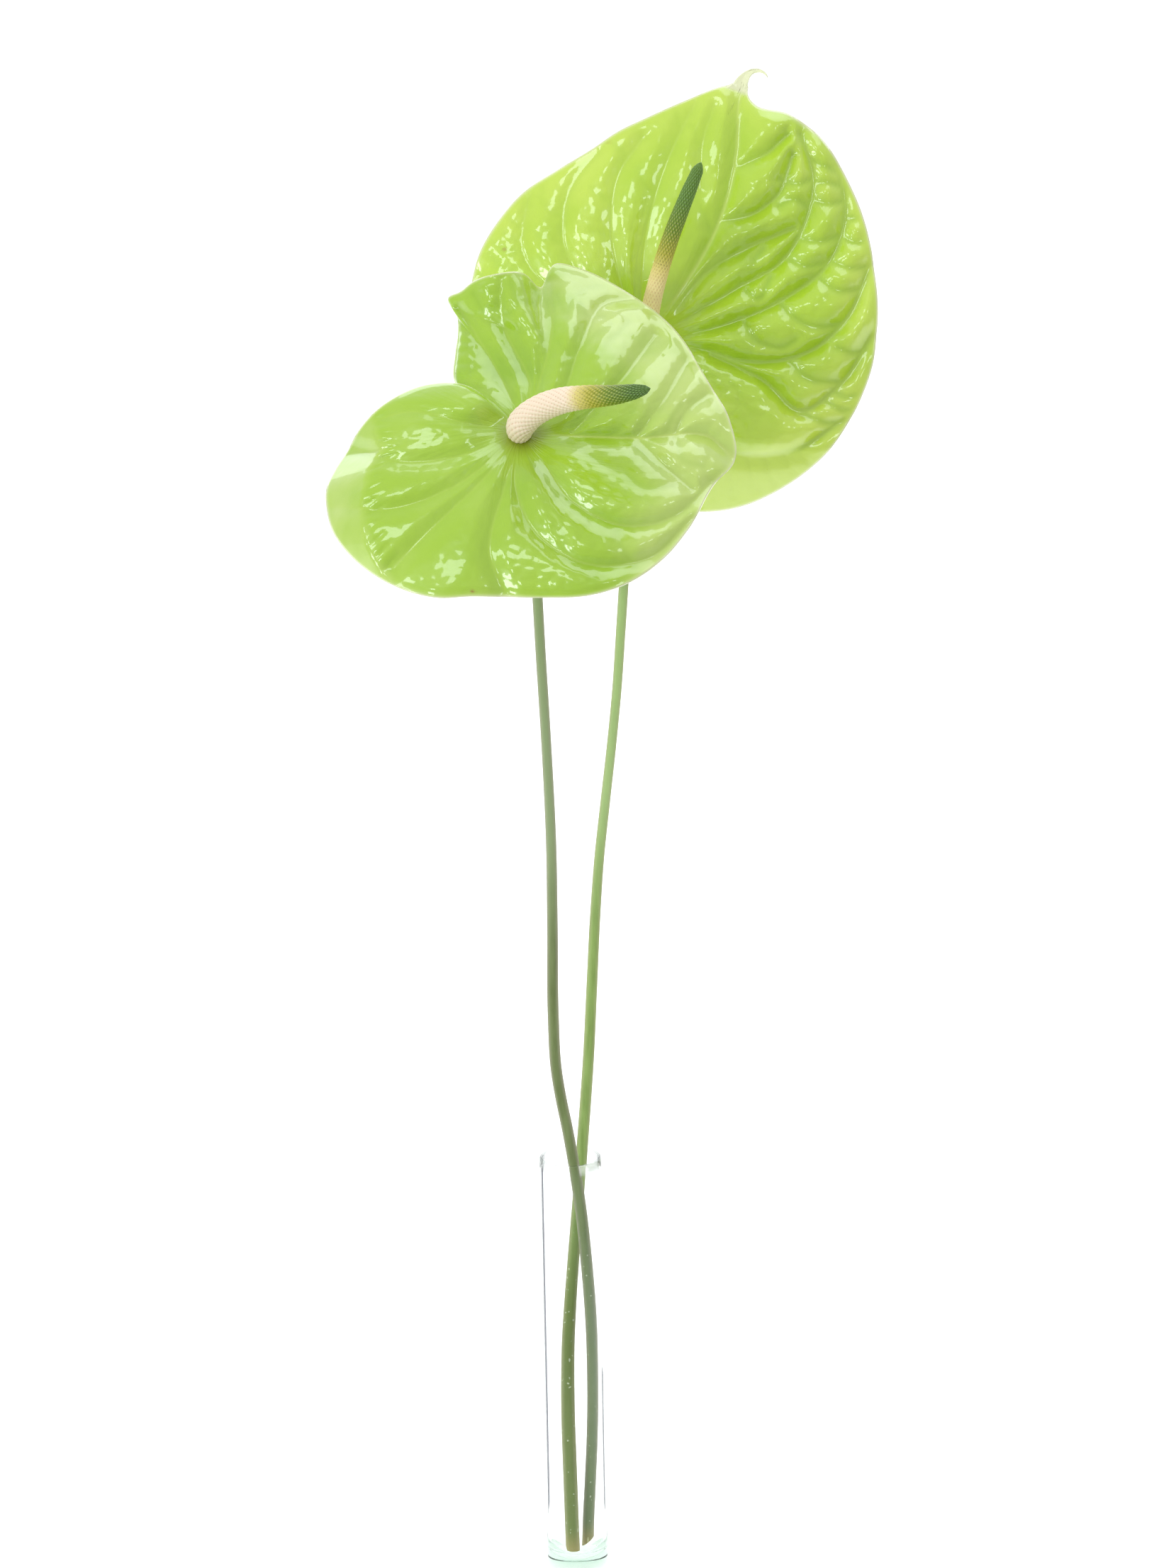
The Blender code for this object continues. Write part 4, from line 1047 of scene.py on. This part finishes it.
BACK_STEM = ((-2.1, -3.9, 7.4), (-2.35, -3.2, 20), (-2.6, -2.3, 35.6), (-2.9, -1.2, 53),
             (-3.2, 0, 73), (-3.1, 1, 90), (-2.5, 2.3, 110), (-1.3, 3.3, 127.4),
             (0.4, 4.6, 147), (3.1, 6.3, 175), (5.7, 7.7, 204), (7.5, 10.3, 223.7),
             (9.1, 12.3, 243), (11.2, 15.4, 276), (13.3, 18.3, 308.5), (15.5, 20.7, 334),
             (18.7, 23.2, 360), (22.0, 25.6, 386), (24.8, 28.9, 411), (26.9, 32.5, 436),
             (31.9, 41, 495), (37.6, 50, 545), (39.5, 51.5, 558))
FRONT_STEM_RADII = ((0, 2.8), (35, 2.7), (90, 2.6), (280, 2.5), (330, 2.37), (400, 2.2),
                    (520, 2.3))
BACK_STEM_RADII = ((0, 3.2), (60, 3.2), (85, 3.15), (110, 3.0), (140, 2.75), (215, 2.58),
                   (265, 2.5), (300, 2.4), (330, 2.25), (400, 2.12), (520, 2.3))
FRONT_CUT_NORMAL = Vector((0.66, 0.0, -0.75))


def stem_path(points, flower):
    """Return the stem's middle line, which ends on the spathe's underside."""
    facing = facing_of(flower[1])
    joint = flower[0] - facing * (SPATHE_THICKNESS / 2 + GAP)
    way = np.vstack([np.array(points) * MM, joint - facing * STEM_LEAD, joint])
    return smooth_curve(way, STEM_RINGS + 1, STEM_CROWDING)


def make_stem(name, node, skin, points, widths, flower, cut_normal=None):
    """Make a stem, and cut its foot off slanting where a direction for the cut is given."""
    path = stem_path(points, flower)
    below = np.linalg.norm(path - path[-1], axis=1)
    radii = np.interp(path[:, 2] / MM, *zip(*widths)) * MM
    radii = radii + (STEM_NECK_RADIUS - radii) * ramp(STEM_NECK, 0.0, below)
    turn = 2 * math.pi * np.arange(STEM_SIDES) / STEM_SIDES
    ribs = STEM_RIB * np.cos(4 * turn) + STEM_FINE_RIB * np.cos(7 * turn + 1.0)
    first, second = ring_axes(path, square_end=facing_of(flower[1]))
    # How far each point faces to the left or right of the view, for the flanks' painted sheen.
    side = np.abs(np.outer(first[:, 0], np.cos(turn)) + np.outer(second[:, 0], np.sin(turn)))
    bm = make_tube(path, (first, second), radii[:, None] + ribs, {"side": side})
    if cut_normal is not None:
        middle = Vector(path[0]) + Vector((0.0, 0.0, radii[0]))
        cut = bmesh.ops.bisect_plane(bm, geom=bm.verts[:] + bm.edges[:] + bm.faces[:],
                                     plane_co=middle, plane_no=cut_normal, clear_outer=True)
        rim = [part for part in cut["geom_cut"] if isinstance(part, bmesh.types.BMEdge)]
        bmesh.ops.holes_fill(bm, edges=rim, sides=0)
    for face in bm.faces:
        low_down = face.calc_center_median().z < STEM_FOOT_ZONE
        face.material_index = int(low_down and len(face.verts) > 4)
    print(name, "is", round(float(np.linalg.norm(np.diff(path, axis=0), axis=1).sum()) / MM),
          "mm long")
    piece = finished_object(name, bm, [skin, flesh])
    piece.data.set_sharp_from_angle(angle=math.radians(40))
    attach(piece, "root")
    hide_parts(node)


make_stem("front_stem", "stem_front", front_skin, FRONT_STEM,
          FRONT_STEM_RADII, FRONT_FLOWER, FRONT_CUT_NORMAL)
make_stem("back_stem", "stem_back", back_skin, BACK_STEM,
          BACK_STEM_RADII, BACK_FLOWER)

# %% [markdown]
# ## The glass
# The vase is a drawn tube with a thick foot and a rim melted round by the flame. Turning half
# of its section round the axis makes it in one go. The long walls get rings, because smooth
# shading blends the facing of a ring into the next, and far apart rings would bend what is seen
# through the wall. They also let the wall ripple by a hair, as drawn glass does. Clear glass
# shows its colour only where it is thick, so a volume tints it, not its surface. The surface
# mirrors less than plain glass, or the white room in it would veil the stems. Light takes very
# many samples to find its way through glass, so shadows and scattered light ignore it. The
# flame-polished rim is so smooth that it hardly shows: the points there carry a share by which
# it is left clear.

# %% Glass tube
GLASS_RADIUS, GLASS_HEIGHT, GLASS_WALL = 14.0 * MM, 200.0 * MM, 1.5 * MM
GLASS_FLOOR, GLASS_CORNER, GLASS_FOOT_ROUND = 6.0 * MM, 9.0 * MM, 1.2 * MM
GLASS_SEGMENTS = 128
GLASS_RIPPLE = 0.0015
BORE_RADIUS = GLASS_RADIUS - GLASS_WALL
RIM_CLEARNESS, CLEAR_FROM, CLEAR_FULL = 0.6, 198.0 * MM, 198.6 * MM


def arc(centre, radius, start, end, steps):
    """Return (radius, height) points on an arc, from start to end in degrees."""
    turns = [math.radians(start + (end - start) * i / steps) for i in range(steps + 1)]
    return [(centre[0] + radius * math.cos(t), centre[1] + radius * math.sin(t)) for t in turns]


def turn_profile(profile):
    """Return a bmesh solid turned round the Z axis from (radius, height) points."""
    bm = bmesh.new()
    verts = [bm.verts.new((radius, 0.0, height)) for radius, height in profile]
    edges = [bm.edges.new(pair) for pair in zip(verts[:-1], verts[1:])]
    bmesh.ops.spin(bm, geom=verts + edges, cent=(0, 0, 0), axis=(0, 0, 1),
                   angle=2 * math.pi, steps=GLASS_SEGMENTS, use_merge=True)
    bmesh.ops.remove_doubles(bm, verts=bm.verts, dist=MERGE_DISTANCE)
    bmesh.ops.recalc_face_normals(bm, faces=bm.faces)
    return bm


def clear_glass():
    glass = Finish("clear_glass")
    smears = glass.noise(60.0, 3.0, (1.0, 1.0, 0.3))
    glass.fill(glass.shader, {
        "Base Color": (1.0, 1.0, 1.0), "IOR": 1.5, "Transmission Weight": 1.0,
        "Specular Tint": (0.35, 0.35, 0.35), "Roughness": glass.step(smears, 0.55, 0.8) * 0.02})
    tint = glass.tree.nodes.new("ShaderNodeVolumeAbsorption")
    glass.fill(tint, {"Color": (0.30, 0.60, 0.42), "Density": 28.0})
    glass.tree.links.new(tint.outputs[0], glass.output.inputs["Volume"])
    shadow = glass.node("LightPath", out="Is Shadow Ray")
    scattered = glass.node("LightPath", out="Is Diffuse Ray")
    absent = shadow.maths("MAXIMUM", shadow, scattered)
    absent = absent.maths("MAXIMUM", absent, glass.carried("clear"))
    surface, nothing = Wire(glass.shader.outputs[0]), glass.node("BsdfTransparent")
    either = glass.node("MixShader", {0: absent, 1: surface, 2: nothing})
    glass.tree.links.new(either.socket, glass.output.inputs["Surface"])
    return glass.material


def wall(radius, low, high, rings=40):
    """Return evenly spaced points up a straight wall, both ends left out."""
    return [(radius, low + (high - low) * i / rings) for i in range(1, rings)]


foot = GLASS_FOOT_ROUND
rim = GLASS_WALL / 2
outside = ([(0.0, 0.0), (6.0 * MM, 0.0)] + arc((GLASS_RADIUS - foot, foot), foot, -90, 0, 8)
           + wall(GLASS_RADIUS, foot, GLASS_HEIGHT - rim))
lip = arc((GLASS_RADIUS - rim, GLASS_HEIGHT - rim), rim, 0, 180, 16)
inside = wall(BORE_RADIUS, GLASS_HEIGHT - rim, GLASS_FLOOR + GLASS_CORNER)
corner = (BORE_RADIUS - GLASS_CORNER, GLASS_FLOOR + GLASS_CORNER)
hollow = arc(corner, GLASS_CORNER, 0, -90, 20) + [(0.0, GLASS_FLOOR)]
bm = turn_profile(outside + lip + inside + hollow)
clear = bm.verts.layers.float.new("clear")
for vert in bm.verts:
    vert[clear] = RIM_CLEARNESS * ramp(CLEAR_FROM, CLEAR_FULL, vert.co.z)
    turn = math.atan2(vert.co.y, vert.co.x)
    ripple = (math.sin(vert.co.z * 95.0 + turn) + math.sin(vert.co.z * 230.0 - 2 * turn)) / 2
    vert.co.xy *= 1.0 + GLASS_RIPPLE * ripple * ramp(0.01, 0.03, vert.co.z)
vase = finished_object("glass_tube", bm, [clear_glass()])
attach(vase, "root")
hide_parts("vase_glass")
print("glass tube", round(2 * GLASS_RADIUS / MM), "by", round(GLASS_HEIGHT / MM), "mm")
